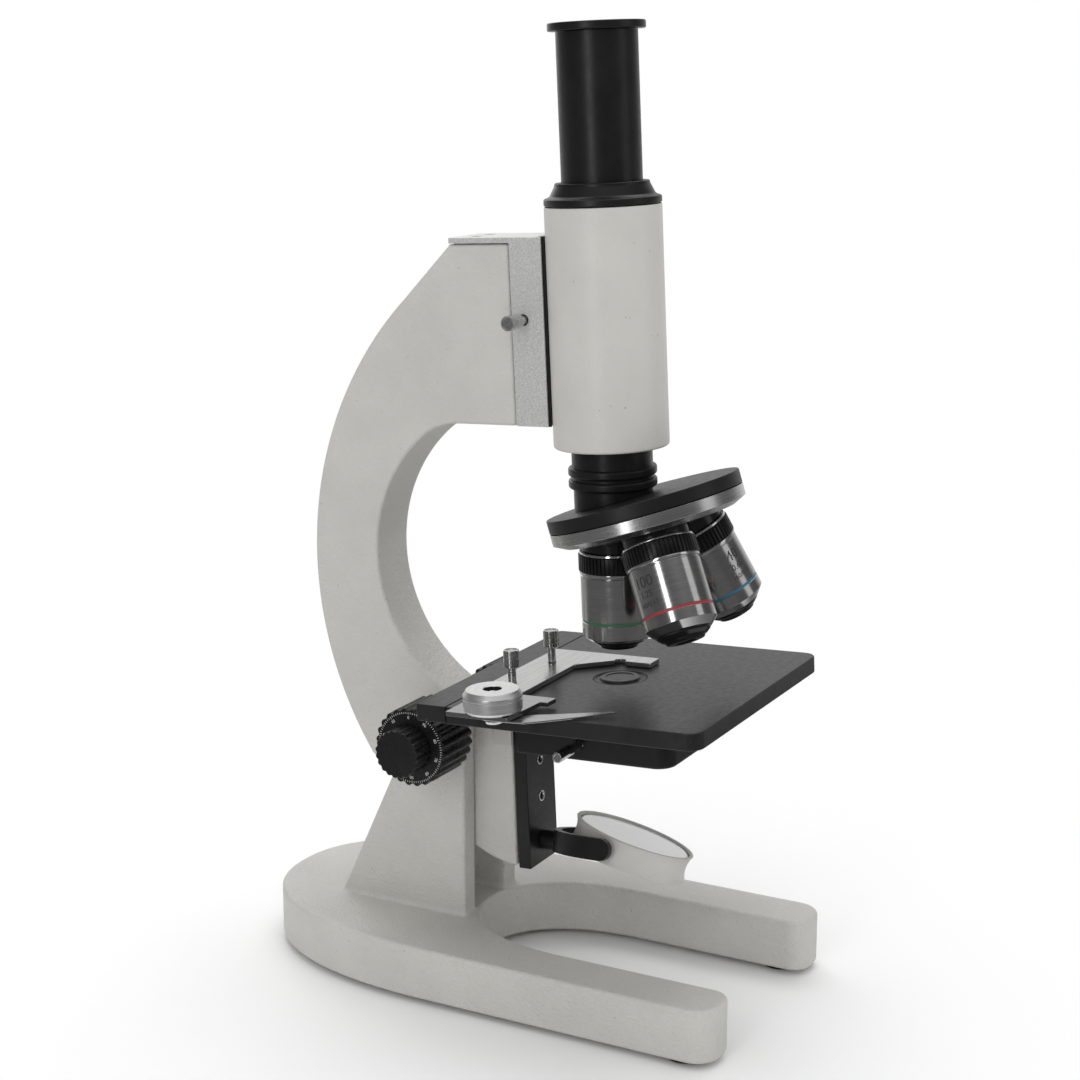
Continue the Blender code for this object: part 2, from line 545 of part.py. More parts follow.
# idler gap nearest to the rack direction sets where the rack's teeth stand
step = 2 * pi / GEAR_N
gap_angle = IDLER_DIR + pi
k = round((pi - gap_angle) / step)
off = (gap_angle + k * step) - pi
tooth_z = IDLER_Z - GEAR_PITCH_R * off
RACK_LOW, RACK_HIGH = -66.0, -17.5
pitch = pi * GEAR_M
rack = [(COLUMN_FRONT_Y, RACK_HIGH), (COLUMN_FRONT_Y, RACK_LOW)]
rack += [(RACK_PITCH_Y - 1.15, RACK_LOW)]
kk = -20
while kk < 20:
    zc = tooth_z + kk * pitch
    if zc - 1.2 > RACK_LOW and zc + 1.2 < RACK_HIGH:
        rack += [(RACK_PITCH_Y - 1.15, zc - 0.95), (RACK_PITCH_Y + 0.8, zc - 0.30),
                 (RACK_PITCH_Y + 0.8, zc + 0.30), (RACK_PITCH_Y - 1.15, zc + 0.95)]
    kk += 1
rack += [(RACK_PITCH_Y - 1.15, RACK_HIGH)]
plate("focus_rack", [rack], 7.0, ARM, BRASS, rot=SIDE)

slide = box("focus_slide", (-9.8, 31.4, -75.3), (9.8, COLUMN_FRONT_Y - GAP, STAGE_BOTTOM - GAP), ARM, BLACK, bevel=0.5, segs=1)
for nm, z in (("upper", -39.1), ("lower", -52.1)):
    h = turned("slide_screw_hole_" + nm, [(0, 2), (1.9, 2), (1.9, -1.4), (0, -1.4)], ARM, None, loc=(0, 31.4, z), rot=ALONG_NY,
               steps=20, cutter=True)
    boolean(slide, h)
    turned("slide_screw_" + nm, [(0, -0.3), (0.8, -0.3), (0.8, 0.1), (1.5, 0.1), (1.6, 0.0), (1.6, -1.1), (0, -1.1)], ARM, STEEL,
           loc=(0, 31.4, z), rot=ALONG_NY, steps=20)
post_hole = turned("mirror_post_hole", [(0, 5), (2.95, 5), (2.95, -2.6), (0, -2.6)], ARM, None, loc=(0, 31.4, POST_Z), rot=ALONG_NY,
                   steps=24, cutter=True)
boolean(slide, post_hole)

# ------------------------------------------------------------------- stage
bracket_outline = [(-33.9, 21.2)]
bracket_outline += arc((-33.9 + 6, -32.8 + 6), 6, 180, 270, 5) + arc((33.9 - 6, -32.8 + 6), 6, 270, 360, 5)
bracket_outline += [(33.9, 21.2), (9.4, 21.2), (9.4, 31.4 - GAP), (-9.4, 31.4 - GAP), (-9.4, 21.2)]
br = plate("stage_bracket", [bracket_outline, list(reversed(circle(11.0, 24)))], STAGE_BOTTOM - GAP - BRACKET_LOW, ARM, BLACK,
           loc=(0, 0, (STAGE_BOTTOM - GAP + BRACKET_LOW) / 2), bevel=0.6, segs=1, angle=50)
CS_Y, CS_Z = -1.9, -20.4
boolean(br, turned("condenser_screw_hole", [(0, 60), (1.7, 60), (1.7, 5), (0, 5)], ARM, None, loc=(0, CS_Y, CS_Z), rot=ALONG_NX,
                   steps=20, cutter=True))
stage = plate("stage_plate", [rounded_rect(-STAGE_HALF_W, STAGE_FRONT_Y, STAGE_HALF_W, STAGE_SEAM_Y - GAP / 2, (5, 5, 0, 0)),
                              list(reversed(circle(8.95, 24)))],
              STAGE_TOP - STAGE_BOTTOM, ARM, STAGEM, loc=(0, 0, (STAGE_TOP + STAGE_BOTTOM) / 2), bevel=0.4, segs=1, angle=50)
bar_ = plate("stage_rear_bar", [rounded_rect(-STAGE_HALF_W, STAGE_SEAM_Y + GAP / 2, STAGE_HALF_W, STAGE_REAR_Y, (0, 0, 1.2, 1.2), 2)],
             STAGE_TOP - STAGE_BOTTOM, ARM, STAGEM, loc=(0, 0, (STAGE_TOP + STAGE_BOTTOM) / 2), bevel=0.4, segs=1, angle=50)
turned("condenser_mount", [(0, STAGE_TOP + 0.45), (6.3, STAGE_TOP + 0.45), (6.7, STAGE_TOP + 0.1), (6.9, STAGE_TOP - 0.25),
                           (8.6, STAGE_TOP - 0.25), (8.6, -27.2), (7.0, -27.2), (7.0, -12.0), (0, -12.0)], ARM, STAGEM, steps=40)
turned("condenser_lens", [(0, -22.6), (4.0, -23.0), (6.7, -24.2), (6.7, -25.4), (0, -25.4)], ARM, GLASS, steps=32)
thumbscrew("condenser_clamp_screw", ARM, (-33.9, CS_Y, CS_Z), ALONG_NX, 1.75, 9.6, 1.35, 5.8, 1.35, 24.6, STEEL, 8)

# slide holder: an L with a bevelled inner corner and a finger notch
HZ = STAGE_TOP + GAP
HT = 1.6
holder = [(20.2, -4.7), (20.2, 34.6), (-38.0, 34.6), (-38.0, 18.8), (4.0, 18.8), (12.9, 8.6)]
holder += [(14.9, 8.4), (15.6, 7.2), (15.6, 5.9), (14.9, 4.7)] + [(13.2, 4.5), (13.2, -4.7)]
hp = plate("slide_holder", [holder], HT, ARM, BRUSHED, loc=(0, 0, HZ + HT / 2))
HS = (("left", -23.5), ("right", 3.8))
HS_Y = 27.3
for nm, x in HS:
    boolean(hp, turned("holder_hole_" + nm, [(0, 5), (1.55, 5), (1.55, -5), (0, -5)], ARM, None, loc=(x, HS_Y, HZ), steps=20, cutter=True))
    boolean(stage, turned("stage_tap_" + nm, [(0, 3), (1.55, 3), (1.55, -3.8), (0, -3.8)], ARM, None, loc=(x, HS_Y, STAGE_TOP), steps=20, cutter=True))
    thumbscrew("holder_screw_" + nm, ARM, (x, HS_Y, HZ + HT), None, 2.6, 5.8, 1.35, 5.4, 1.25, 5.0, STEEL)

# spring clip on the left: base plate over the pivoting finger, with a round knob
CLIP_X, CLIP_Y = -55.9, 16.0
FINGER_Z = STAGE_TOP + GAP
FINGER_T = 0.7
CP_Z = FINGER_Z + FINGER_T + GAP
CP_T = 1.35
clip_outline = [(-61.7, 29.9), (-61.7, 8.0), (-42.2, 6.9), (-42.2, 4.4), (-39.0 + 2.2, 4.2), (-39.0 + 2.2, 17.9), (-38.6, 17.9),
                (-38.6, 29.9)]
cp = plate("clip_base_plate", [clip_outline, list(reversed(circle(1.9, 20, CLIP_X, CLIP_Y)))], CP_T, ARM, BRUSHED,
           loc=(0, 0, CP_Z + CP_T / 2))
pad = box("clip_pad", (-49.0, 22.0, FINGER_Z), (-42.0, 29.5, CP_Z + 0.4), ARM, None, cutter=True)
boolean(cp, pad, "UNION")
clip_axis = empty("clip_axis", ARM, (CLIP_X, CLIP_Y, 0))
tip_x, tip_y = -39.0 - CLIP_X, -17.4 - CLIP_Y
fin = []
N = 10
side_a, side_b = [], []
for i in range(N + 1):
    t = i / N
    cx = -3.0 + (tip_x + 3.0) * (t ** 1.25)
    cy = -3.0 + (tip_y + 3.0) * t
    w = 5.2 * (1 - t) ** 0.8 + 0.7
    side_a.append((cx - w * 0.95, cy - w * 0.2))
    side_b.append((cx + w * 0.95, cy + w * 0.2))
head = arc((0, 0), 5.2, 20, 200, 8)
fin = head + side_a[1:] + list(reversed(side_b[1:]))
plate("spring_finger", [fin, list(reversed(circle(1.9, 20)))], FINGER_T, clip_axis, BRUSHED, loc=(0, 0, FINGER_Z + FINGER_T / 2))
CK_Z = CP_Z + CP_T + GAP
turned("clip_knob", [(2.9, 7.0), (8.2, 7.0), (9.3, 5.4), (9.3, 1.0), (8.6, 0.0), (1.9, 0.0), (1.9, 4.6), (2.9, 4.6)],
       clip_axis, STEEL, loc=(0, 0, CK_Z), steps=44)
turned("clip_pivot_bolt", [(0, CK_Z + 6.2), (1.6, CK_Z + 6.0), (1.6, FINGER_Z - 0.4), (3.0, FINGER_Z - 0.4), (2.6, FINGER_Z - 1.5), (0, FINGER_Z - 2.0)],
       clip_axis, STEEL, steps=24)

# ------------------------------------------------------------------- mirror
turned("mirror_post", [(0, 6.1), (2.7, 6.1), (2.7, -2.3), (0, -2.3)], ARM, BLACK, loc=(0, 31.4, POST_Z), rot=ALONG_NY, steps=28)
fork_axis = empty("mirror_post_axis", ARM, (0, 0, POST_Z), (0, radians(FORK_TURN), 0))
TZ = TRUNNION_Z - POST_Z
FORK_IN, FORK_OUT = 22.0, 24.4
FY = 25.0                                 # front face of the post
strap = []
strap_y0 = FY - GAP
outer_pts, inner_pts = [], []
R_O, R_I = FORK_OUT, FORK_IN
for i in range(13):
    a = pi * i / 12
    outer_pts.append((R_O * cos(a), strap_y0 - 24.6 + 24.6 * sin(a)))
    inner_pts.append((R_I * cos(a), strap_y0 - 24.6 + 22.2 * sin(a)))
end_y = TRUNNION_Y - 3.6
fork_outline = [(R_O, end_y)] + outer_pts + [(-R_O, end_y), (-R_I, end_y)] + list(reversed(inner_pts)) + [(R_I, end_y)]
fork = plate("mirror_fork", [fork_outline], 7.2, fork_axis, BLACK, bevel=0.5, segs=1, loc=(0, 0, TZ * 0.6))
for s in (-1, 1):
    boolean(fork, turned("trunnion_hole_%d" % (s > 0), [(0, 30), (1.45, 30), (1.45, 15), (0, 15)], fork_axis, None,
                         loc=(0, TRUNNION_Y, TZ * 0.6), rot=ALONG_X if s > 0 else ALONG_NX, steps=16, cutter=True))
mirror_axis = empty("mirror_trunnion_axis", fork_axis, (0, TRUNNION_Y, TZ * 0.6), (radians(MIRROR_TILT), 0, 0))
cell = turned("mirror_cell", [(CELL_R - 0.9, 4.7), (CELL_R, 4.5), (CELL_R - 1.6, 0.0), (CELL_R + 0.1, -4.4), (CELL_R - 1.0, -4.6),
                              (0, -4.6), (0, 1.9), (CELL_R - 1.5, 1.9), (CELL_R - 1.5, 4.0)],
              mirror_axis, PAINT, steps=56)
for s in (-1, 1):
    tr = turned("trunnion_%d" % (s > 0), [(0, 23.9), (1.15, 23.9), (1.15, 17.6), (0, 17.6)], mirror_axis, None,
                rot=ALONG_X if s > 0 else ALONG_NX, steps=16, cutter=True)
    boolean(cell, tr, "UNION")
turned("mirror_glass", [(0, 4.0), (CELL_R - 1.8, 4.0), (CELL_R - 1.8, 2.2), (0, 2.2)], mirror_axis, MIRROR, steps=56)

bpy.context.view_layer.update()
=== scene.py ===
import json
import bpy
import bmesh
import numpy as np
from math import sin, cos, tan, pi, radians, degrees, sqrt, atan2, asin, acos
from mathutils import Vector, Matrix


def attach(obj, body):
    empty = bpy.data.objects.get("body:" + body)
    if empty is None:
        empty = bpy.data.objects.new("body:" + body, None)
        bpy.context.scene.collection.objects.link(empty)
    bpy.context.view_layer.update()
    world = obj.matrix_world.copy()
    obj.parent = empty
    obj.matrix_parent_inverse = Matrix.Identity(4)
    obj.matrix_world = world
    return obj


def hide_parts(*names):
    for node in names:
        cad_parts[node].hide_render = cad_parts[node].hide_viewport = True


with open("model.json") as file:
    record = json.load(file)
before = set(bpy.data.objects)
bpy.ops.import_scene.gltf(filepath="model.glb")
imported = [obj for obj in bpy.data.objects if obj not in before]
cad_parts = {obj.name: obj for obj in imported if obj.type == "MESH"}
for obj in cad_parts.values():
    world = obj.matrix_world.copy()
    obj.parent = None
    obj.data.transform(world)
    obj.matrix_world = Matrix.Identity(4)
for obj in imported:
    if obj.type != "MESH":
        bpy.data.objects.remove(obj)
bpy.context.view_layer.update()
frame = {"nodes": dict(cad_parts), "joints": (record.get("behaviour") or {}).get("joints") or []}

# ------------------------------------------------------------------ placement
# Every piece is modelled in millimetres in one of three local frames and then
# set in the row frame: base (level), arm (leans with the arm, Z on the optical
# axis) and turret (origin at the nosepiece cone's apex).
J = {j["name"]: j for j in frame["joints"]}
PIVOT = Vector(J["arm_inclination"]["pos_m"])
UP = Vector(J["stage_focus"]["axis"]).normalized()
ACROSS = Vector((1, 0, 0))
BACK = UP.cross(ACROSS)
ROT = Matrix((ACROSS, BACK, UP)).transposed()
PY, PZ = 58.70, -27.00                       # inclination axis in the arm frame
ORIGIN = PIVOT - ROT @ Vector((0, PY * 0.001, PZ * 0.001))
MMS = Matrix.Scale(0.001, 4)
ARM = Matrix.Translation(ORIGIN) @ ROT.to_4x4() @ MMS
BASE = Matrix.Translation(ORIGIN) @ MMS
LEAN = atan2(UP.y, UP.z)
PBY = PY * cos(LEAN) + PZ * sin(LEAN)
PBZ = -PY * sin(LEAN) + PZ * cos(LEAN)


def rx(a):
    return Matrix.Rotation(radians(a), 4, "X")


def ry(a):
    return Matrix.Rotation(radians(a), 4, "Y")


def rz(a):
    return Matrix.Rotation(radians(a), 4, "Z")


def tr(x, y, z):
    return Matrix.Translation((x, y, z))


SIDE = rz(90) @ rx(90)                              # local X,Y -> Y,Z and thickness on X
TO_X = ry(90)                                       # lathe axis on +X
TO_NX = ry(-90)
TO_NY = rx(90)                                      # lathe axis on -Y

# --------------------------------------------------------------- shape helpers


def link(name, bm):
    bmesh.ops.recalc_face_normals(bm, faces=bm.faces)
    me = bpy.data.meshes.new(name)
    bm.to_mesh(me)
    bm.free()
    ob = bpy.data.objects.new(name, me)
    bpy.context.scene.collection.objects.link(ob)
    return ob


def settle(ob):
    """Modifiers are worked into the mesh."""
    bpy.context.view_layer.update()
    dg = bpy.context.evaluated_depsgraph_get()
    me = bpy.data.meshes.new_from_object(ob.evaluated_get(dg))
    old = ob.data
    ob.modifiers.clear()
    ob.data = me
    bpy.data.meshes.remove(old)
    return ob


def bevel(ob, width, segs=3, angle=30, profile=0.5):
    m = ob.modifiers.new("edge", "BEVEL")
    m.width = width
    m.segments = segs
    m.limit_method = "ANGLE"
    m.angle_limit = radians(angle)
    m.profile = profile
    m.use_clamp_overlap = True
    return settle(ob)


def boolean(ob, other, op="DIFFERENCE", keep=False, solver="EXACT"):
    m = ob.modifiers.new("cut", "BOOLEAN")
    m.operation = op
    m.object = other
    m.solver = solver
    settle(ob)
    if not keep:
        me = other.data
        bpy.data.objects.remove(other, do_unlink=True)
        bpy.data.meshes.remove(me)
    return ob


def moved(ob, m):
    ob.data.transform(m)
    if m.determinant() < 0:
        ob.data.flip_normals()
    ob.data.update()
    return ob


def rounded(pts, closed=True, n=5):
    """Outline with its corners turned to arcs; a point is (x, y) or (x, y, radius)."""
    out = []
    count = len(pts)
    for i, p in enumerate(pts):
        rad = p[2] if len(p) > 2 else 0
        if rad <= 0 or (not closed and i in (0, count - 1)):
            out.append((p[0], p[1]))
            continue
        q = Vector(p[:2])
        a = Vector(pts[i - 1][:2]) - q
        b = Vector(pts[(i + 1) % count][:2]) - q
        la, lb = a.length, b.length
        a.normalize()
        b.normalize()
        ang = a.angle(b)
        if ang > pi - 0.02:
            out.append((p[0], p[1]))
            continue
        t = min(rad / tan(ang / 2), 0.495 * la, 0.495 * lb)
        r = t * tan(ang / 2)
        c = q + (a + b).normalized() * (r / sin(ang / 2))
        s, e = q + a * t, q + b * t
        a0 = atan2(s.y - c.y, s.x - c.x)
        a1 = atan2(e.y - c.y, e.x - c.x)
        d = (a1 - a0 + pi) % (2 * pi) - pi
        k = max(2, int(n * abs(d) / (pi / 2) + 0.99))
        out += [(c.x + r * cos(a0 + d * j / k), c.y + r * sin(a0 + d * j / k)) for j in range(k + 1)]
    return out


def lathe(name, prof, steps=96, n=5):
    """Turned piece. Solid when the profile starts and ends on the axis, else a closed ring."""
    solid = prof[0][0] < 1e-6 and prof[-1][0] < 1e-6
    prof = rounded(prof, closed=not solid, n=n)
    clean = [prof[0]]
    for p in prof[1:]:
        if (p[0] - clean[-1][0]) ** 2 + (p[1] - clean[-1][1]) ** 2 > 1e-8:
            clean.append(p)
    bm = bmesh.new()
    rings = []
    for r, z in clean:
        if r < 1e-6:
            rings.append([bm.verts.new((0, 0, z))])
        else:
            rings.append([bm.verts.new((r * cos(2 * pi * i / steps), r * sin(2 * pi * i / steps), z)) for i in range(steps)])
    pairs = list(zip(rings, rings[1:]))
    if not solid:
        pairs.append((rings[-1], rings[0]))
    for a, b in pairs:
        for i in range(steps):
            j = (i + 1) % steps
            if len(a) == 1 and len(b) == 1:
                break
            if len(a) == 1:
                bm.faces.new((a[0], b[i], b[j]))
            elif len(b) == 1:
                bm.faces.new((a[i], b[0], a[j]))
            else:
                bm.faces.new((a[i], b[i], b[j], a[j]))
    return link(name, bm)


def loft(name, rings, loop=False):
    """Skin over rings of equal point count; ends are capped unless it closes on itself."""
    bm = bmesh.new()
    vs = [[bm.verts.new(p) for p in ring] for ring in rings]
    n = len(rings[0])
    pairs = list(zip(vs, vs[1:]))
    if loop:
        pairs.append((vs[-1], vs[0]))
    for a, b in pairs:
        for i in range(n):
            j = (i + 1) % n
            bm.faces.new((a[i], a[j], b[j], b[i]))
    if not loop:
        bm.faces.new(list(reversed(vs[0])))
        bm.faces.new(vs[-1])
    return link(name, bm)


def prism(name, outline, z0, z1, edge=0.0, segs=3, angle=30):
    ob = loft(name, [[(x, y, z0) for x, y in outline], [(x, y, z1) for x, y in outline]])
    if edge:
        bevel(ob, edge, segs, angle)
    return ob


def block(name, lo, hi, edge=0.0, segs=3):
    out = [(lo[0], lo[1]), (hi[0], lo[1]), (hi[0], hi[1]), (lo[0], hi[1])]
    return prism(name, out, lo[2], hi[2], edge, segs)


def arc(c, r, a0, a1, n):
    return [(c[0] + r * cos(radians(a0 + (a1 - a0) * i / n)), c[1] + r * sin(radians(a0 + (a1 - a0) * i / n)))
            for i in range(n + 1)]


def bez(p0, p1, p2, n):
    out = []
    for i in range(1, n):
        t = i / n
        out.append(tuple((1 - t) ** 2 * a + 2 * t * (1 - t) * b + t * t * c for a, b, c in zip(p0, p1, p2)))
    return out


def inset_outline(outline, d):
    """Outline moved inwards radially by d."""
    out = []
    for x, y in outline:
        r = sqrt(x * x + y * y)
        f = max(0.0, (r - d) / r)
        out.append((x * f, y * f))
    return out


def turned_outline(name, outline, z0, z1, soft, hole=0.0, n=4):
    """Grooved grip: one outline carried along the axis with softened ends, solid or with a round bore."""
    rings = []
    for k in range(n + 1):
        t = (pi / 2) * k / n
        rings.append([(x, y, z0 + soft * (1 - cos(t))) for x, y in inset_outline(outline, soft * (1 - sin(t)))])
    top = []
    for k in range(n + 1):
        t = (pi / 2) * k / n
        top.append([(x, y, z1 - soft * (1 - cos(t))) for x, y in inset_outline(outline, soft * (1 - sin(t)))])
    rings += list(reversed(top))
    if hole > 0:
        m = len(outline)
        a0 = [atan2(y, x) for x, y in outline]
        rings.append([(hole * cos(a), hole * sin(a), z1) for a in a0])
        rings.append([(hole * cos(a), hole * sin(a), z0) for a in a0])
        return loft(name, rings, loop=True)
    return loft(name, rings)


def ribs(r, depth, count, fill=0.62, slope=0.10):
    pts = []
    half = fill / 2
    for i in range(count):
        for f, rr in ((-half - slope, r - depth), (-half, r), (half, r), (half + slope, r - depth)):
            a = 2 * pi * (i + f) / count
            pts.append((rr * cos(a), rr * sin(a)))
    return pts


def lobes(r, depth, count, per=14, power=0.75):
    pts = []
    for i in range(count * per):
        a = 2 * pi * i / (count * per)
        u = (i % per) / per
        rr = r - depth * (1 - abs(sin(pi * u)) ** power)
        pts.append((rr * cos(a), rr * sin(a)))
    return pts


def waves(r, depth, count, per=12):
    pts = []
    for i in range(count * per):
        a = 2 * pi * i / (count * per)
        rr = r - depth * (0.5 + 0.5 * cos(a * count)) ** 1.3
        pts.append((rr * cos(a), rr * sin(a)))
    return pts


def figures(name, text, size, thick=0.05):
    """Flat digits centred on the origin in the XY plane, as a closed mesh."""
    cu = bpy.data.curves.new(name, "FONT")
    cu.body = text
    cu.size = size
    cu.align_x = "CENTER"
    cu.align_y = "CENTER"
    cu.extrude = thick / 2
    cu.resolution_u = 4
    ob = bpy.data.objects.new(name, cu)
    bpy.context.scene.collection.objects.link(ob)
    bpy.context.view_layer.update()
    me = bpy.data.meshes.new_from_object(ob.evaluated_get(bpy.context.evaluated_depsgraph_get()))
    bpy.data.objects.remove(ob, do_unlink=True)
    bm = bmesh.new()
    bm.from_mesh(me)
    bpy.data.meshes.remove(me)
    bmesh.ops.remove_doubles(bm, verts=bm.verts, dist=1e-5)
    return bm


def join(name, obs):
    """Several closed solids become one piece."""
    bm = bmesh.new()
    for o in obs:
        bm.from_mesh(o.data)
        me = o.data
        bpy.data.objects.remove(o, do_unlink=True)
        bpy.data.meshes.remove(me)
    return link(name, bm)


def place(ob, m, mats, body, nodes=(), sharp=38, pick=None, weighted=True):
    """Sets a piece modelled in millimetres into the row frame, with its finish and its body."""
    me = ob.data
    if not isinstance(mats, (list, tuple)):
        mats = [mats]
    me.materials.clear()
    for mt in mats:
        me.materials.append(mt)
    if pick:
        for p in me.polygons:
            p.material_index = pick(p.center, p.normal)
    co = np.empty(len(me.vertices) * 3, np.float32)
    me.vertices.foreach_get("co", co)
    if "loc" in me.attributes:
        me.attributes.remove(me.attributes["loc"])
    at = me.attributes.new("loc", "FLOAT_VECTOR", "POINT")
    at.data.foreach_set("vector", co)
    moved(ob, m)
    me.shade_smooth()
    me.set_sharp_from_angle(angle=radians(sharp))
    if weighted:
        w = ob.modifiers.new("normals", "WEIGHTED_NORMAL")
        w.keep_sharp = True
        w.weight = 50
    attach(ob, body)
    if nodes:
        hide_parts(*nodes)
    return ob


# ------------------------------------------------------------------- materials


class Mat:
    """Small helper round a node tree; lengths in the textures are millimetres."""

    def __init__(self, name, cad=False):
        self.m = bpy.data.materials.new(name)
        self.m.use_nodes = True
        self.nt = self.m.node_tree
        self.b = self.nt.nodes["Principled BSDF"]
        if cad:
            t = self.nt.nodes.new("ShaderNodeTexCoord")
            s = self.nt.nodes.new("ShaderNodeVectorMath")
            s.operation = "SCALE"
            s.inputs["Scale"].default_value = 1000.0
            self.nt.links.new(t.outputs["Object"], s.inputs[0])
            self.co = s.outputs[0]
        else:
            a = self.nt.nodes.new("ShaderNodeAttribute")
            a.attribute_name = "loc"
            self.co = a.outputs["Vector"]

    def stretch(self, s, vec=None):
        n = self.nt.nodes.new("ShaderNodeVectorMath")
        n.operation = "MULTIPLY"
        self.nt.links.new(vec or self.co, n.inputs[0])
        n.inputs[1].default_value = s
        return n.outputs[0]

    def noise(self, scale, detail=2.0, rough=0.5, vec=None, distortion=0.0):
        n = self.nt.nodes.new("ShaderNodeTexNoise")
        n.inputs["Scale"].default_value = scale
        n.inputs["Detail"].default_value = detail
        n.inputs["Roughness"].default_value = rough
        n.inputs["Distortion"].default_value = distortion
        self.nt.links.new(vec or self.co, n.inputs["Vector"])
        return n.outputs[0]

    def cells(self, scale, vec=None, feature="F1", out="Distance"):
        n = self.nt.nodes.new("ShaderNodeTexVoronoi")
        n.feature = feature
        n.inputs["Scale"].default_value = scale
        self.nt.links.new(vec or self.co, n.inputs["Vector"])
        return n.outputs[out]

    def remap(self, v, a0, a1, b0, b1, smooth=False):
        n = self.nt.nodes.new("ShaderNodeMapRange")
        if smooth:
            n.interpolation_type = "SMOOTHSTEP"
        n.inputs["From Min"].default_value = a0
        n.inputs["From Max"].default_value = a1
        n.inputs["To Min"].default_value = b0
        n.inputs["To Max"].default_value = b1
        self.nt.links.new(v, n.inputs["Value"])
        return n.outputs["Result"]

    def math(self, op, a, b=0.0):
        n = self.nt.nodes.new("ShaderNodeMath")
        n.operation = op
        for s, v in ((n.inputs[0], a), (n.inputs[1], b)):
            if hasattr(v, "is_linked"):
                self.nt.links.new(v, s)
            else:
                s.default_value = v
        return n.outputs[0]

    def mix(self, fac, a, b):
        n = self.nt.nodes.new("ShaderNodeMix")
        n.data_type = "RGBA"
        for key, v in ((0, fac), (6, a), (7, b)):
            s = n.inputs[key]
            if hasattr(v, "is_linked"):
                self.nt.links.new(v, s)
            elif key == 0:
                s.default_value = v
            else:
                s.default_value = (*v, 1.0) if len(v) == 3 else v
        return n.outputs[2]

    def round_coords(self, k):
        """(radius, height) about the piece's own Z axis, for marks left by turning."""
        sep = self.nt.nodes.new("ShaderNodeSeparateXYZ")
        self.nt.links.new(self.co, sep.inputs[0])
        x, y, z = sep.outputs
        r = self.math("SQRT", self.math("ADD", self.math("MULTIPLY", x, x), self.math("MULTIPLY", y, y)))
        c = self.nt.nodes.new("ShaderNodeCombineXYZ")
        self.nt.links.new(self.math("MULTIPLY", r, k), c.inputs[0])
        self.nt.links.new(self.math("MULTIPLY", self.math("ADD", x, y), 0.12), c.inputs[1])
        self.nt.links.new(self.math("MULTIPLY", z, k), c.inputs[2])
        return c.outputs[0]

    def set(self, name, v):
        s = self.b.inputs[name]
        if hasattr(v, "is_linked"):
            self.nt.links.new(v, s)
        elif name in ("Base Color", "Coat Tint", "Specular Tint", "Emission Color") and len(v) == 3:
            s.default_value = (*v, 1.0)
        else:
            s.default_value = v
        return self

    def bump(self, height, strength, mm, prev=None):
        n = self.nt.nodes.new("ShaderNodeBump")
        n.inputs["Strength"].default_value = strength
        n.inputs["Distance"].default_value = mm * 0.001
        self.nt.links.new(height, n.inputs["Height"])
        if prev is not None:
            self.nt.links.new(prev, n.inputs["Normal"])
        self.nt.links.new(n.outputs[0], self.b.inputs["Normal"])
        return n.outputs[0]


def paint(name, rgb, peel=1.0, specks=1.0, rough=(0.36, 0.46), cad=False):
    t = Mat(name, cad)
    cloud = t.noise(0.045, 3, 0.55)
    light = tuple(min(1, c * 1.035) for c in rgb)
    dark = tuple(c * 0.955 for c in rgb)
    col = t.mix(t.remap(cloud, 0.3, 0.7, 0, 1), dark, light)
    # sparse pits and grains caught in the paint
    pit = t.remap(t.cells(0.30, feature="F1"), 0.07, 0.115, 1.0, 0.0, True)
    some = t.remap(t.noise(0.21, 1), 0.56, 0.62, 0.0, 1.0)
    pits = t.math("MULTIPLY", pit, t.math("MULTIPLY", some, 0.55 * specks))
    grain = t.remap(t.noise(1.9, 2), 0.66, 0.76, 0.0, 0.16 * specks)
    col = t.mix(grain, col, tuple(c * 0.72 for c in rgb))
    col = t.mix(pits, col, tuple(c * 0.42 for c in rgb))
    t.set("Base Color", col)
    t.set("Roughness", t.remap(t.noise(0.6, 3), 0.3, 0.7, rough[0], rough[1]))
    t.set("Specular IOR Level", 0.5)
    # orange peel of a sprayed casting
    skin = t.math("ADD", t.noise(0.95, 2.0, 0.55), t.math("MULTIPLY", t.noise(2.3, 2.0), 0.3))
    p = t.bump(skin, 0.85, 0.62 * peel)
    t.bump(pits, 0.4, -0.06, p)
    return t.m


def cast_metal(name, cad=False):
    t = Mat(name, cad)
    fine = t.noise(2.6, 3, 0.7)
    flake = t.noise(5.2, 1, 0.5)
    both = t.math("ADD", t.math("MULTIPLY", fine, 0.6), t.math("MULTIPLY", flake, 0.4))
    t.set("Base Color", t.mix(t.remap(both, 0.36, 0.64, 0, 1), (0.52, 0.52, 0.515), (0.96, 0.96, 0.95)))
    t.set("Metallic", 0.55)
    t.set("Roughness", t.remap(both, 0.3, 0.7, 0.62, 0.36))
    t.bump(both, 0.85, 0.12)
    return t.m


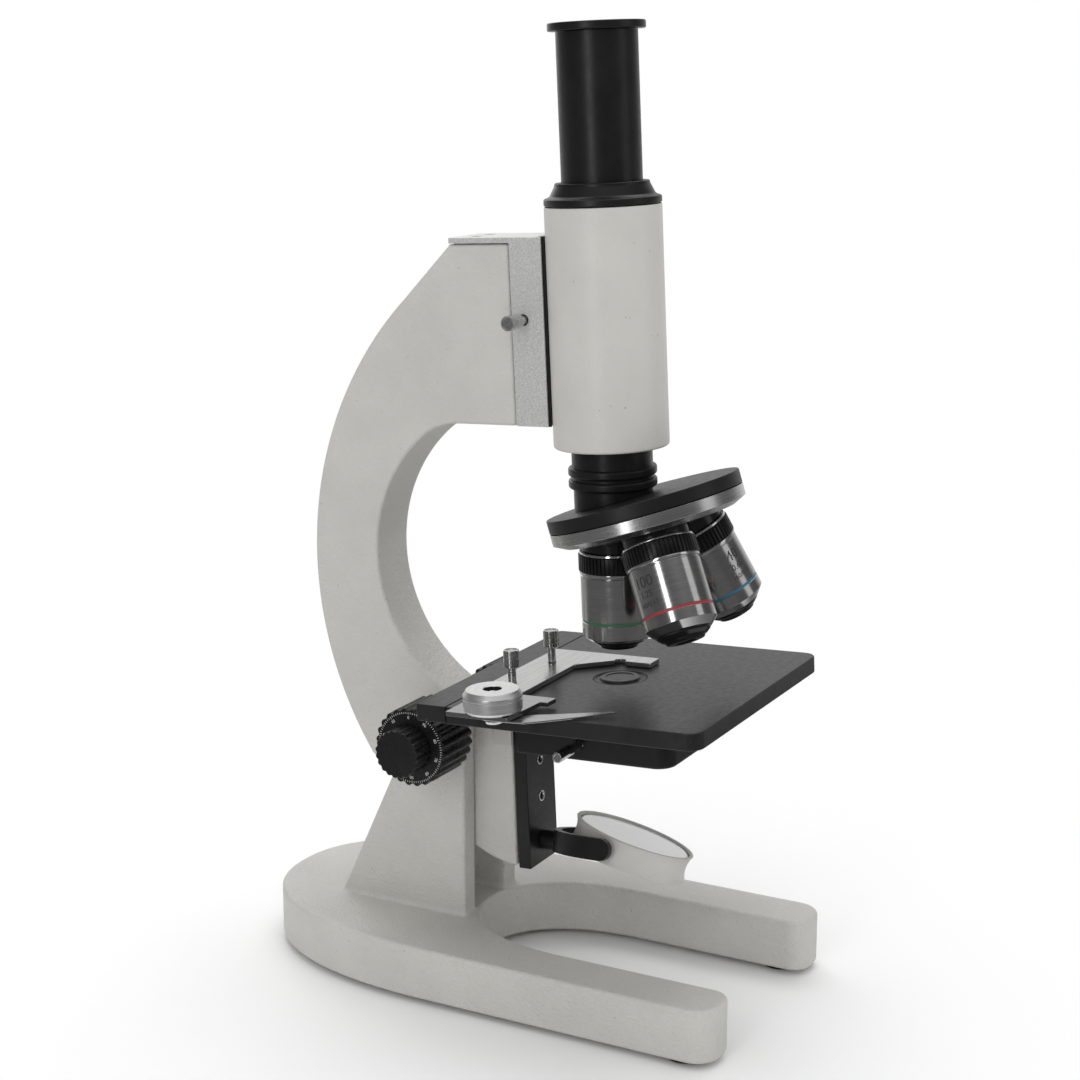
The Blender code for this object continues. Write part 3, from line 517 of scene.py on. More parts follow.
def black_coat(name, rgb=(0.0095, 0.0095, 0.010), rough=(0.30, 0.40), fine=1.0, spec=0.36, cad=False, dust=0.0, lines=False):
    t = Mat(name, cad)
    cloud = t.noise(0.08, 3, 0.6)
    col = t.mix(t.remap(cloud, 0.35, 0.65, 0, 1), tuple(c * 0.85 for c in rgb), tuple(c * 1.2 for c in rgb))
    if dust:
        speck = t.remap(t.cells(0.42, feature="F1"), 0.05, 0.10, 1.0, 0.0, True)
        patch = t.remap(t.noise(0.055, 2), 0.52, 0.66, 0.0, 1.0)
        streak = t.remap(t.noise(0.35, 4, 0.7, vec=t.stretch((0.4, 2.2, 1.0))), 0.60, 0.78, 0.0, 0.35)
        fac = t.math("MULTIPLY", t.math("MAXIMUM", speck, streak), t.math("MULTIPLY", patch, dust))
        col = t.mix(fac, col, (0.16, 0.16, 0.158))
    t.set("Base Color", col)
    t.set("Roughness", t.remap(t.noise(0.5, 3), 0.3, 0.7, rough[0], rough[1]))
    t.set("Specular IOR Level", spec)
    if lines:
        p = t.bump(t.noise(1.0, 2, vec=t.round_coords(2.4)), 0.10 * fine, 0.05)
        t.bump(t.noise(2.4, 2), 0.12 * fine, 0.04, p)
    else:
        t.bump(t.noise(1.6, 3), 0.18 * fine, 0.06)
    return t.m


def turned_metal(name, rgb=(0.62, 0.62, 0.61), rough=(0.20, 0.34), line=1.0, cad=False, k=3.2):
    t = Mat(name, cad)
    co = t.round_coords(k)
    band = t.noise(1.0, 3, 0.65, vec=co)
    wide = t.noise(0.22, 2, 0.5, vec=co)
    smear = t.noise(0.12, 2)
    t.set("Base Color", t.mix(t.remap(band, 0.3, 0.7, 0, 1), tuple(c * 0.86 for c in rgb), tuple(min(1, c * 1.1) for c in rgb)))
    t.set("Metallic", 1.0)
    mixv = t.math("ADD", t.math("MULTIPLY", band, 0.6), t.math("MULTIPLY", smear, 0.4))
    t.set("Roughness", t.remap(mixv, 0.3, 0.7, rough[0], rough[1]))
    t.bump(t.math("ADD", band, wide), 0.16 * line, 0.03)
    return t.m


def brushed_metal(name, rgb=(0.66, 0.66, 0.65), along=(0.04, 3.6, 3.6), rough=(0.24, 0.40), line=1.0, cad=False):
    t = Mat(name, cad)
    v = t.stretch(along)
    hair = t.noise(1.0, 4, 0.7, vec=v)
    cloud = t.noise(0.09, 2)
    t.set("Base Color", t.mix(t.remap(hair, 0.3, 0.7, 0, 1), tuple(c * 0.80 for c in rgb), tuple(min(1, c * 1.12) for c in rgb)))
    t.set("Metallic", 1.0)
    mixv = t.math("ADD", t.math("MULTIPLY", hair, 0.65), t.math("MULTIPLY", cloud, 0.35))
    t.set("Roughness", t.remap(mixv, 0.3, 0.7, rough[0], rough[1]))
    t.bump(hair, 0.14 * line, 0.03)
    return t.m


def polished(name, rgb=(0.74, 0.74, 0.74), rough=(0.07, 0.17), cad=False):
    t = Mat(name, cad)
    hair = t.noise(1.3, 4, 0.75, vec=t.stretch((0.5, 2.0, 2.0)))
    t.set("Base Color", t.mix(t.remap(t.noise(0.3, 2), 0.3, 0.7, 0, 1), tuple(c * 0.93 for c in rgb), rgb))
    t.set("Metallic", 1.0)
    t.set("Roughness", t.remap(hair, 0.35, 0.7, rough[0], rough[1]))
    t.bump(hair, 0.04, 0.02)
    return t.m


def ink(name, rgb, rough=0.5):
    t = Mat(name)
    t.set("Base Color", t.mix(t.remap(t.noise(2.5, 2), 0.35, 0.65, 0, 1), tuple(c * 0.85 for c in rgb), rgb))
    t.set("Roughness", t.remap(t.noise(1.5, 2), 0.3, 0.7, rough - 0.06, rough + 0.06))
    return t.m


def glass(name, tint=(0.02, 0.03, 0.035), cad=False):
    t = Mat(name, cad)
    t.set("Base Color", t.mix(t.remap(t.noise(0.2, 2), 0.3, 0.7, 0, 1), tint, tuple(c * 1.6 for c in tint)))
    t.set("Roughness", t.remap(t.noise(0.5, 2), 0.3, 0.7, 0.02, 0.05))
    t.set("Coat Weight", 1.0)
    t.set("Coat Roughness", 0.02)
    t.set("Specular IOR Level", 0.6)
    return t.m


PAINT_RGB = (0.560, 0.552, 0.522)
M_BASE = paint("grey_paint_base", PAINT_RGB, peel=1.0)
M_ARM = paint("grey_paint_arm", PAINT_RGB, peel=0.75, specks=0.8)
M_TUBE = paint("grey_paint_tube", PAINT_RGB, peel=0.22, specks=1.3, rough=(0.30, 0.38))
M_CELL = paint("grey_paint_cell", tuple(c * 0.98 for c in PAINT_RGB), peel=0.2, specks=0.5)
M_PAD = paint("grey_paint_pad", tuple(c * 0.90 for c in PAINT_RGB), peel=0.12, specks=0.3, rough=(0.28, 0.36))
M_CAST = cast_metal("silver_casting")
M_BTUBE = black_coat("black_satin_tube", rough=(0.30, 0.38), lines=True, fine=0.8)
M_BNECK = black_coat("black_satin_neck", rough=(0.28, 0.38), lines=True)
M_BCOVER = black_coat("black_cover", rgb=(0.011, 0.011, 0.0115), rough=(0.34, 0.44), fine=1.2)
M_STAGE = black_coat("black_stage", rgb=(0.014, 0.014, 0.0145), rough=(0.28, 0.38), dust=0.55, fine=0.9, spec=0.5)
M_BRACK = black_coat("black_bracket", rgb=(0.009, 0.009, 0.0095), rough=(0.33, 0.43), fine=1.2)
M_FORK = black_coat("black_fork", rgb=(0.009, 0.009, 0.0095), rough=(0.30, 0.42), fine=1.5)
M_PLAST = black_coat("black_knob", rgb=(0.0085, 0.0085, 0.009), rough=(0.24, 0.34), fine=0.6, spec=0.42)
M_KNURL = black_coat("black_knurl", rgb=(0.007, 0.007, 0.0075), rough=(0.26, 0.38), fine=1.0)
M_NOSE = black_coat("black_nose", rgb=(0.007, 0.007, 0.0075), rough=(0.14, 0.22), fine=0.4, lines=True, spec=0.5)
M_RUB = black_coat("black_rubber", rgb=(0.016, 0.016, 0.016), rough=(0.55, 0.75), fine=2.2, spec=0.3)
# flat black that stands in for shade: painted shade for the gap line behind the stop pads, the slide screws' recess and
# the clip knob's bore
M_SHADE = black_coat("painted_shade_black", rgb=(0.008, 0.008, 0.008), rough=(0.5, 0.7))
M_RIM = turned_metal("turned_rim", rgb=(0.66, 0.66, 0.655), rough=(0.20, 0.30), k=4.0, line=0.4)
M_BARREL = turned_metal("turned_barrel", rgb=(0.56, 0.56, 0.555), rough=(0.11, 0.20), k=5.0, line=0.35)
M_CROME = polished("chrome_ring", rough=(0.08, 0.17))
M_SCREW = turned_metal("turned_screw", rgb=(0.68, 0.68, 0.676), rough=(0.20, 0.32), k=5.0, line=0.12)
M_KNOBM = turned_metal("turned_clip_knob", rgb=(0.95, 0.95, 0.945), rough=(0.30, 0.42), k=5.5, line=0.22)
M_HOLD = brushed_metal("brushed_holder", rgb=(0.72, 0.72, 0.715), along=(0.05, 3.4, 3.4), rough=(0.18, 0.30), line=0.8)
M_CLIP = brushed_metal("brushed_clip", rgb=(0.50, 0.50, 0.495), along=(3.4, 0.05, 3.4), rough=(0.10, 0.18), line=0.5)
M_FINGER = brushed_metal("brushed_finger", rgb=(0.58, 0.58, 0.575), along=(3.0, 0.06, 3.0), rough=(0.18, 0.30))
M_STEEL = brushed_metal("plain_steel", rgb=(0.50, 0.50, 0.50), cad=True)
M_BRASS = brushed_metal("gear_brass", rgb=(0.60, 0.42, 0.17), cad=True)
M_WHITE = ink("white_ink", (0.72, 0.72, 0.70))
M_DARK = ink("engraving_fill", (0.035, 0.035, 0.037))
M_RED = ink("band_red", (0.36, 0.035, 0.045), 0.34)
M_GREEN = ink("band_green", (0.045, 0.17, 0.085), 0.34)
M_BLUE = ink("band_blue", (0.030, 0.16, 0.26), 0.34)
M_LENS = glass("coated_lens")
M_LENSC = glass("coated_lens_inner", cad=True)


def mirror_material():
    t = Mat("silvered_glass")
    t.set("Base Color", t.mix(t.remap(t.noise(0.07, 2), 0.3, 0.7, 0, 1), (0.92, 0.92, 0.92), (0.96, 0.96, 0.96)))
    t.set("Metallic", t.remap(t.noise(0.2, 2), 0.3, 0.7, 0.32, 0.36))
    t.set("Roughness", t.remap(t.noise(0.3, 3), 0.3, 0.7, 0.10, 0.16))
    t.set("Coat Weight", 0.6)
    t.set("Coat Roughness", 0.04)
    return t.m


M_MIRROR = mirror_material()

# ------------------------------------------------------------------------ base
TOP, BOTTOM = -94.8, -112.8


def heel(n, half_w, mid_y, end_y, power):
    pts = []
    for i in range(n + 1):
        t = (pi / 2) * i / n
        pts.append((half_w * abs(cos(t)) ** (2 / power), mid_y + (end_y - mid_y) * abs(sin(t)) ** (2 / power)))
    return pts


outer = heel(44, 48.6, 46.5, 127.7, 2.25)
inner = heel(30, 30.0, 4.6, 48.9, 2.25)
tip = arc((36.6, -49.2), 6.6, 180, 270, 10) + arc((40.2, -47.4), 8.4, 270, 360, 12)
right = list(reversed(inner)) + tip + outer
left = [(-x, y) for x, y in reversed(right)][1:-1]
base = prism("base_casting_form", right + left, BOTTOM, TOP, edge=1.35, segs=5, angle=50)

cheek_a = 24.8
nrm = (cos(radians(cheek_a)), sin(radians(cheek_a)))
CR = 10.2
FRONT = 48.9
heel_y = PBY + CR * nrm[0] + (PBZ + CR * nrm[1] - (TOP - 3)) * tan(radians(cheek_a))
front_r = PBY - FRONT
cheek = ([(FRONT, TOP - 3), (heel_y, TOP - 3)] + arc((PBY, PBZ), CR, cheek_a, 90, 18)
         + arc((PBY, PBZ + CR - front_r), front_r, 90, 180, 18)[1:])
for s in (-1, 1):
    ck = prism("cheek", cheek, -3.825, 3.825, edge=1.15, segs=4, angle=40)
    moved(ck, tr(s * 14.125, 0, 0) @ SIDE)
    boolean(base, ck, "UNION")
    # cast fillet round the cheek's foot
    foot_y = heel_y - 3 * tan(radians(cheek_a))
    rings = []
    R = 1.5
    x0, x1, y0, y1 = 10.3, 17.95, FRONT, foot_y
    for k in range(8):
        t = (pi / 2) * k / 7
        o = R * (1 - sin(t))
        z = R * (1 - cos(t))
        lean_in = z * tan(radians(cheek_a))
        xa, xb, ya, yb = x0 - o, x1 + o, y0 - o, y1 + o - lean_in
        q = rounded([(xa, ya, 1.15 + o), (xb, ya, 1.15 + o), (xb, yb, 1.15 + o), (xa, yb, 1.15 + o)], n=5)
        rings.append([(x * 1.0, y, TOP + z) for x, y in q])
    low = [(x, y, TOP - 1.2) for x, y, z in rings[0]]
    sk = loft("skirt", [low] + rings)
    if s < 0:
        moved(sk, Matrix.Scale(-1, 4, (1, 0, 0)))
    boolean(base, sk, "UNION")
boolean(base, moved(lathe("bore", [(0, 30), (5.6, 30), (5.6, -30), (0, -30)], 64), tr(0, PBY, PBZ) @ TO_X))
place(base, BASE, M_BASE, "base", ["base_casting"], sharp=32)

for nm, x, y in (("foot_front_left", -39.5, -43.5), ("foot_front_right", 39.5, -43.5),
                 ("foot_rear_left", -26.0, 95.0), ("foot_rear_right", 26.0, 95.0)):
    f = lathe(nm + "_form", [(0, BOTTOM - 0.02), (6.2, BOTTOM - 0.02, 0.2), (6.2, BOTTOM - 1.2, 0.3), (5.9, BOTTOM - 2.0, 0.5),
                             (3.4, BOTTOM - 2.0, 0.2), (3.1, BOTTOM - 1.6, 0.2), (0, BOTTOM - 1.6)], 64)
    moved(f, tr(x, y, 0))
    place(f, BASE, M_RUB, "base", [nm])

# ------------------------------------------------------------------------- arm
HT, HL = 134.3, 76.0
INNER_C, INNER_R = (32.1, 29.3), 53.4
arm_outline = ([(29.5, HL), (29.5, HT), (51.2, HT)]
               + arc((-13.7, 24.0), 124.6, 48.0, -31.5, 60)
               + arc((33.5, -37.2), 37.85, -58.0, -85.0, 14)
               + arc(INNER_C, INNER_R, -85.5, 52.0, 60)
               + bez((64.98, 71.38), (59.0, HL), (50.5, HL), 14) + [(50.5, HL)])
arm = prism("arm_casting_form", arm_outline, -9.8, 9.8, edge=1.35, segs=4, angle=50)
moved(arm, SIDE)
GR = 6.0
ID = radians(211.5)
IY, IZ = PY + 12.15 * cos(ID), PZ + 12.15 * sin(ID)
boolean(arm, block("c", (-4.0, 33.3, -90), (4.0, IY - GR - 0.08 + 2.0, -5)))
for y, z, r, h in ((PY, PZ, 7.6, 4.6), (IY, IZ, 7.5, 4.35), (PY, PZ, 5.5, 30), (IY, IZ, 1.8, 7.4)):
    boolean(arm, moved(lathe("c", [(0, h), (r, h), (r, -h), (0, -h)], 48), tr(0, y, z) @ TO_X))
place(arm, ARM, M_ARM, "arm", ["arm_casting"], sharp=32)

for s in (-1, 1):
    pad = [(9.6, 42.4), (9.6, 36.6), (9.95, 36.5), (9.95, 35.7), (11.8, 35.7), (11.8, 42.4)]
    st = prism("stop_pad_" + ("left" if s < 0 else "right"), pad, -31.6, -18.4, edge=0.4, segs=3)
    if s < 0:
        moved(st, Matrix.Scale(-1, 4, (1, 0, 0)))
    place(st, ARM, M_PAD, "arm")
    # thin black plate just behind the pad's left and bottom edges: a painted shadow line for the gap round the pad
    painted_shadow_strip = prism("stop_pad_painted_shadow_strip_" + ("left" if s < 0 else "right"), [(9.6, 36.7), (9.9, 36.7), (9.9, 42.8), (9.6, 42.8)], -32.0, -18.6, edge=0.05, segs=1)
    if s < 0:
        moved(painted_shadow_strip, Matrix.Scale(-1, 4, (1, 0, 0)))
    place(painted_shadow_strip, ARM, M_SHADE, "arm")

# head block and its cap
blk_out = [(17.6, HL), (29.2, HL), (29.2, HT + 0.3), (51.3, HT + 0.3), (51.3, HT + 2.2), (17.6, HT + 2.2)]
blk = prism("head_mount_block_form", blk_out, -9.8, 9.8, edge=0.32, segs=3)
moved(blk, SIDE)
boolean(blk, block("c", (-9.2, 14, HL - 3), (9.2, 19.4, HT + 6)))
boolean(blk, moved(lathe("c", [(0, 20), (1.85, 20), (1.85, 5), (0, 5)], 40), tr(0, 24.9, 110.3) @ TO_NX))
for x in (-4.4, 4.4):
    boolean(blk, moved(lathe("c", [(0, HT + 5), (2.0, HT + 5), (2.0, HT + 1.1), (0, HT + 1.1)], 40), tr(x, 43.6, 0)))
place(blk, ARM, M_CAST, "arm", ["head_mount_block"])


def hexagon(r):
    return [(r * cos(pi * k / 3), r * sin(pi * k / 3)) for k in range(6)]


for side, x in (("left", -4.4), ("right", 4.4)):
    sc = lathe("cap_screw_%s_form" % side, [(0, HT + 2.15), (1.7, HT + 2.15, 0.25), (1.7, HT + 1.4), (0, HT + 1.4)], 40)
    boolean(sc, prism("c", hexagon(0.8), HT + 1.6, HT + 4))
    moved(sc, tr(x, 43.6, 0))
    place(sc, ARM, M_SCREW, "arm", ["cap_screw_" + side])

# body tube, collar, draw tube, eyepiece
BR = 18.6
Z0, Z1 = 69.3, 145.6
tube = lathe("body_tube_form", [(BR, Z1, 0.35), (BR, Z0, 0.8), (13.6, Z0, 0.4), (13.6, Z0 + 12), (15.8, Z0 + 14), (15.8, Z1, 0.2)], 160)
place(tube, ARM, M_TUBE, "arm", ["body_tube"], sharp=50)

half = 8.9
a0 = asin(half / (BR + 0.3))
saddle = [(half, 19.1), (-half, 19.1)] + [((BR + 0.3) * sin(-a0 + 2 * a0 * i / 24), (BR + 0.3) * cos(-a0 + 2 * a0 * i / 24)) for i in range(25)]
dv = prism("dovetail_plate_form", saddle, HL, HT + 2.2, edge=0.12, segs=2, angle=50)
place(dv, ARM, M_BCOVER, "arm", ["dovetail_plate"])

DR = 12.82
collar = lathe("tube_collar_form",
               [(13.13, 152.9, 0.2), (14.9, 152.9, 0.45), (15.1, 151.9, 0.3), (16.6, 148.9, 0.9), (17.4, 148.35, 0.5), (18.6, 148.1, 0.7),
                (18.6, 145.9, 0.35), (15.5, 145.9), (15.5, 136.6), (13.13, 136.6)], 160, n=6)
place(collar, ARM, M_BTUBE, "arm", ["tube_collar"], sharp=50)
draw = lathe("draw_tube_form", [(DR, 198.7), (DR, 125.6, 0.3), (11.7, 125.6), (11.7, 198.7)], 160)
place(draw, ARM, M_BTUBE, "arm", ["draw_tube"], sharp=50)
eye = lathe("eyepiece_shell_form",
            [(10.7, 2.5, 0.25), (15.3, 2.5, 0.45), (15.3, 0, 0.45), (11.3, 0), (11.3, -34, 0.3), (9.9, -34), (9.9, 0.9)], 160, n=6)
moved(eye, tr(0, 0, 199.0))
place(eye, ARM, M_BTUBE, "eyepiece", ["eyepiece_shell"], sharp=50)
lens = lathe("eye_lens_form", [(0, 0.5), (3.2, 0.43), (6.4, 0.12), (9.5, -0.5), (9.5, -2.2), (0, -2.2)], 96)
moved(lens, tr(0, 0, 199.0))
place(lens, ARM, M_LENS, "eyepiece", ["eye_lens"], sharp=60)

# ------------------------------------------------------------------- nosepiece
TAU = 15.13
tau = radians(TAU)
DY, DZ, DISC = -10.2, 53.85, 31.9
APEX = DZ - DY / tan(tau)
D = DY / sin(tau)                       # height of the cover's top face below the apex (negative)
TUR = ARM @ tr(0, 0, APEX) @ rx(-TAU)
inv_tur = (ARM.inverted() @ TUR)

neck = lathe("nosepiece_neck_form",
             [(13.05, Z0 + 11), (13.05, 63.0, 0.15), (14.3, 62.75, 0.8), (14.3, 60.25, 0.8), (13.05, 59.95, 0.15), (13.05, 59.05, 0.15),
              (14.3, 58.8, 0.8), (14.3, 56.3, 0.8), (12.75, 55.95, 0.2), (12.75, 38.0), (9.6, 38.0), (9.6, Z0 + 11)], 144, n=6)
trim = lathe("c", [(0, D + 0.12), (70, D + 0.12), (70, D - 80), (0, D - 80)], 48)
moved(trim, inv_tur)
boolean(neck, trim)
place(neck, ARM, M_BNECK, "arm", ["nosepiece_neck"], sharp=50)

cover = lathe("nosepiece_cover_form", [(0, D), (DISC, D, 0.35), (DISC, D - 4.35, 0.12), (0, D - 4.35)], 192)
path = moved(lathe("c", [(0, 60), (6.6, 60), (6.6, 20), (0, 20)], 48), inv_tur.inverted())
boolean(cover, path)
boolean(cover, lathe("c", [(0, D + 5), (2.9, D + 5), (2.9, D - 20), (0, D - 20)], 32))
place(cover, TUR, M_BCOVER, "arm", ["nosepiece_cover"])

rim = lathe("nosepiece_turret_form",
            [(0, D - 4.65), (DISC, D - 4.65, 0.12), (DISC, D - 8.4, 0.15), (DISC - 3.6, D - 10.25, 0.1), (28.0, D - 10.25), (27.4, D - 9.7),
             (5.6, D - 15.6), (0, D - 15.6)], 192)
boolean(rim, lathe("c", [(0, D + 5), (2.9, D + 5), (2.9, D - 30), (0, D - 30)], 32))
OBJ = (("low", 0, M_GREEN), ("high", 1, M_RED), ("medium", 2, M_BLUE))
for nm, i, band in OBJ:
    ax = rz(120 * i) @ rx(TAU)
    boolean(rim, moved(lathe("c", [(0, -50.4), (9.9, -50.4), (9.9, -76.0), (0, -76.0)], 64), ax))


def rim_pick(c, n):
    r = sqrt(c.x ** 2 + c.y ** 2)
    return 0 if r > 27.6 and n.z < 0.5 else 1


place(rim, TUR, [M_RIM, M_NOSE], "turret", ["nosepiece_turret"], pick=rim_pick)
pv = lathe("turret_pivot_screw_form", [(0, D - 0.6), (2.6, D - 0.6), (2.6, D - 15.9), (4.4, D - 15.9, 0.2), (4.4, D - 17.8, 0.5), (0, D - 17.8)], 48)
boolean(pv, block("c", (-0.4, -6, D - 19), (0.4, 6, D - 17.0)))
place(pv, TUR, M_SCREW, "turret", ["turret_pivot_screw"])

MARKS = {"low": (("10", 5.0, -68.4), ("0.25", 2.9, -72.3), ("160/0.17", 2.2, -75.5)),
         "high": (("100", 5.0, -68.4), ("1.25", 2.9, -72.3), ("160/0.17", 2.2, -75.5)),
         "medium": (("40", 5.0, -68.4), ("0.65", 2.9, -72.3), ("160/0.17", 2.2, -75.5))}
TURNED = {"low": 150.0, "high": -44.0, "medium": 36.0}       # figures' place round the barrel from the near side
NEAR_SIDE = Vector((-0.880, -0.474, 0.2))
T, RL, L, TP = -56.2, -62.7, -85.4, -88.6
for nm, i, band in OBJ:
    OM = TUR @ rz(120 * i) @ rx(TAU)
    tag = "objective_" + nm
    boss = lathe(tag + "_boss", [(10.9, T + 5.6), (10.9, T + 0.25, 0.2), (9.8, T + 0.25), (9.8, T + 5.6)], 96)
    place(boss, OM, M_NOSE, "turret")
    low_end = -83.0 if nm != "low" else -84.3
    end_r = 9.3 if nm != "low" else 10.2
    barrel = lathe(tag + "_barrel_form",
                   [(9.55, T + 5.0), (9.55, T + 0.1), (11.75, T + 0.1, 0.18), (11.95, T - 0.75, 0.18), (11.2, T - 0.85), (10.9, T - 1.2),
                    (10.9, RL + 0.3), (11.95, RL + 0.05, 0.1), (11.95, RL - 0.75, 0.15), (11.45, RL - 0.85, 0.05), (11.45, RL - 1.3, 0.05),
                    (11.7, RL - 1.45, 0.1), (11.7, -78.55, 0.06), (11.52, -78.65), (11.52, -79.45), (11.7, -79.55, 0.06),
                    (11.7, low_end, 0.12), (end_r, L, 0.12), (8.3, L), (8.3, T + 5.0)], 160)

    def pick(c, n, T=T):
        if -79.44 < c.z < -78.66 and sqrt(c.x ** 2 + c.y ** 2) > 11.3:
            return 1
        if c.z > T - 1.25 or (RL - 0.8 < c.z < RL + 0.4) or c.z < low_end:
            return 2
        return 0

    place(barrel, OM, [M_BARREL, band, M_CROME], "turret", [tag + "_barrel"], pick=pick)
    grip = turned_outline(tag + "_grip_ring_form", ribs(12.2, 0.42, 54), RL + 0.08, T - 0.9, 0.22, hole=11.0, n=2)
    place(grip, OM, M_KNURL, "turret", [tag + "_grip_ring"], sharp=25, weighted=False)
    if nm == "low":
        prof = [(0, L + 6.0), (8.0, L + 6.0), (8.0, L + 0.2), (9.3, L - 0.08, 0.2), (8.9, L - 0.9, 0.4), (7.9, TP + 1.5, 0.4), (6.7, TP + 1.0, 0.3),
                (6.3, TP + 0.2, 0.35), (5.0, TP, 0.2), (3.9, TP, 0.2), (3.2, TP + 0.55, 0.1), (2.6, TP + 0.55), (0, TP + 0.75)]
    else:
        prof = [(0, L + 6.0), (8.0, L + 6.0), (8.0, L + 0.2), (end_r - 0.3, L - 0.08, 0.2), (end_r - 0.8, L - 0.85, 0.3), (7.2, TP + 1.3, 0.3), (6.6, TP + 1.15, 0.2),
                (6.1, TP + 0.25, 0.35), (4.9, TP, 0.2), (3.6, TP, 0.2), (2.9, TP + 0.55, 0.1), (2.6, TP + 0.55), (0, TP + 0.75)]
    nose = lathe(tag + "_nose_form", prof, 128)

    def npick(c, n):
        r = sqrt(c.x ** 2 + c.y ** 2)
        return 1 if r < 2.75 and c.z < -86 else 0

    place(nose, OM, [M_NOSE, M_LENS], "turret", [tag + "_nose"], pick=npick)
    bm = bmesh.new()
    local = OM.to_3x3().inverted() @ NEAR_SIDE
    facing = atan2(local.y, local.x) + radians(TURNED[nm])
    for text, size, z in MARKS[nm]:
        fm = figures("f", text, size, 0.05)
        for v in fm.verts:
            a = facing + v.co.x / 11.7
            rr = 11.715 + v.co.z
            v.co = Vector((rr * cos(a), rr * sin(a), z + v.co.y))
        tmp = bpy.data.meshes.new("t")
        fm.to_mesh(tmp)
        fm.free()
        bm.from_mesh(tmp)
        bpy.data.meshes.remove(tmp)
    mk = link(tag + "_figures", bm)
    place(mk, OM, M_DARK, "turret", weighted=False)

# ------------------------------------------------------------- focusing knobs
X0, X1, XF = 20.1, 38.1, 46.7
for side, s in (("left", -1), ("right", 1)):
    M = ARM @ tr(0, PY, PZ) @ (TO_X if s > 0 else TO_NX)
    k = turned_outline("coarse_knob_%s_form" % side, waves(13.3, 0.85, 24, 12), X0, X1, 0.5, hole=3.5, n=4)
    place(k, M, M_PLAST, "coarse_drive", ["coarse_knob_" + side], sharp=40)
    f = turned_outline("fine_knob_%s_form" % side, waves(8.1, 0.5, 20, 12), X1 + 0.3, XF, 0.35, n=4)
    boolean(f, lathe("c", [(0, 44.7), (1.85, 44.7), (1.85, 30), (0, 30)], 32))
    place(f, M, M_PLAST, "fine_drive", ["fine_knob_" + side], sharp=40)
    bm = bmesh.new()
    for i in range(90):
        a = 2 * pi * i / 90
        big = i % 9 == 0
        m = Matrix.Rotation(a, 4, "Z") @ tr(11.75 if not big else 11.6, 0, X1 + 0.02)
        bmesh.ops.create_cube(bm, size=1.0, matrix=m @ Matrix.Diagonal((0.6 if not big else 0.9, 0.15, 0.06, 1)))
    for i in range(10):
        fm = figures("f", str(10 * i), 1.45, 0.05)
        a = 2 * pi * i / 10
        m = Matrix.Rotation(a, 4, "Z") @ tr(10.15, 0, X1 + 0.025) @ rz(-90)
        bmesh.ops.transform(fm, matrix=m, verts=fm.verts)
        tmp = bpy.data.meshes.new("t")
        fm.to_mesh(tmp)
        fm.free()
        bm.from_mesh(tmp)
        bpy.data.meshes.remove(tmp)
    dial = link("dial_marks_" + side, bm)
    place(dial, M, M_WHITE, "coarse_drive", weighted=False)

# --------------------------------------------------------------- slide, stage
SB, ST = -13.45, -7.85
slide = block("focus_slide_form", (-9.8, 31.4, -75.3), (9.8, 36.0, SB - 0.3), edge=0.4, segs=3)
for z in (-39.1, -52.1):
    boolean(slide, moved(lathe("c", [(0, 2), (1.95, 2), (1.95, -1.4), (0, -1.4)], 48), tr(0, 31.4, z) @ TO_NY))
boolean(slide, moved(lathe("c", [(0, 5), (2.95, 5), (2.95, -2.6), (0, -2.6)], 48), tr(0, 31.4, -67.8) @ TO_NY))
place(slide, ARM, M_BRACK, "stage", ["focus_slide"])
for nm, z in (("upper", -39.1), ("lower", -52.1)):
    sc = lathe("slide_screw_%s_form" % nm, [(0, -1.1), (1.9, -1.1), (1.9, 0.12, 0.12), (1.45, 0.12, 0.12), (1.25, -0.35, 0.1), (0.9, -0.4), (0.9, -0.95), (0, -0.95)][::-1], 48)

    # faces inside r 1.22 are painted black: painted shade in the screw's recess
    def shaded_recess_pick(c, n):
        return 0 if sqrt(c.x ** 2 + c.y ** 2) > 1.22 else 1

    place(sc, ARM @ tr(0, 31.4, z) @ TO_NY, [M_CROME, M_SHADE], "stage", ["slide_screw_" + nm], pick=shaded_recess_pick)

br_out = rounded([(-33.9, 21.2, 1.0), (-33.9, -32.8, 6.0), (33.9, -32.8, 6.0), (33.9, 21.2, 1.0), (9.4, 21.2), (9.4, 31.1), (-9.4, 31.1), (-9.4, 21.2)], n=10)
br = prism("stage_bracket_form", br_out, -26.0, SB - 0.15, edge=0.9, segs=4, angle=50)
boolean(br, lathe("c", [(0, -5), (11.0, -5), (11.0, -40), (0, -40)], 96))
boolean(br, moved(lathe("c", [(0, 60), (1.7, 60), (1.7, 5), (0, 5)], 40), tr(0, -1.9, -20.4) @ TO_NX))
place(br, ARM, M_BRACK, "stage", ["stage_bracket"])

SEAM = 37.35
st_out = rounded([(-49.7, -50.0, 5.0), (49.7, -50.0, 5.0), (49.7, SEAM - 0.12), (-49.7, SEAM - 0.12)], n=10)
stg = prism("stage_plate_form", st_out, SB, ST, edge=0.42, segs=3, angle=50)
boolean(stg, lathe("c", [(0, 0), (8.95, 0), (8.95, -40), (0, -40)], 128))
for x in (-23.5, 3.8):
    boolean(stg, moved(lathe("c", [(0, 3), (1.55, 3), (1.55, -3.8), (0, -3.8)], 40), tr(x, 27.3, ST)))
place(stg, ARM, M_STAGE, "stage", ["stage_plate"])
bar_out = rounded([(-49.7, SEAM + 0.12), (49.7, SEAM + 0.12), (49.7, 48.6, 1.4), (-49.7, 48.6, 1.4)], n=6)
bar = prism("stage_rear_bar_form", bar_out, SB, ST, edge=0.42, segs=3, angle=50)
place(bar, ARM, M_STAGE, "stage", ["stage_rear_bar"])
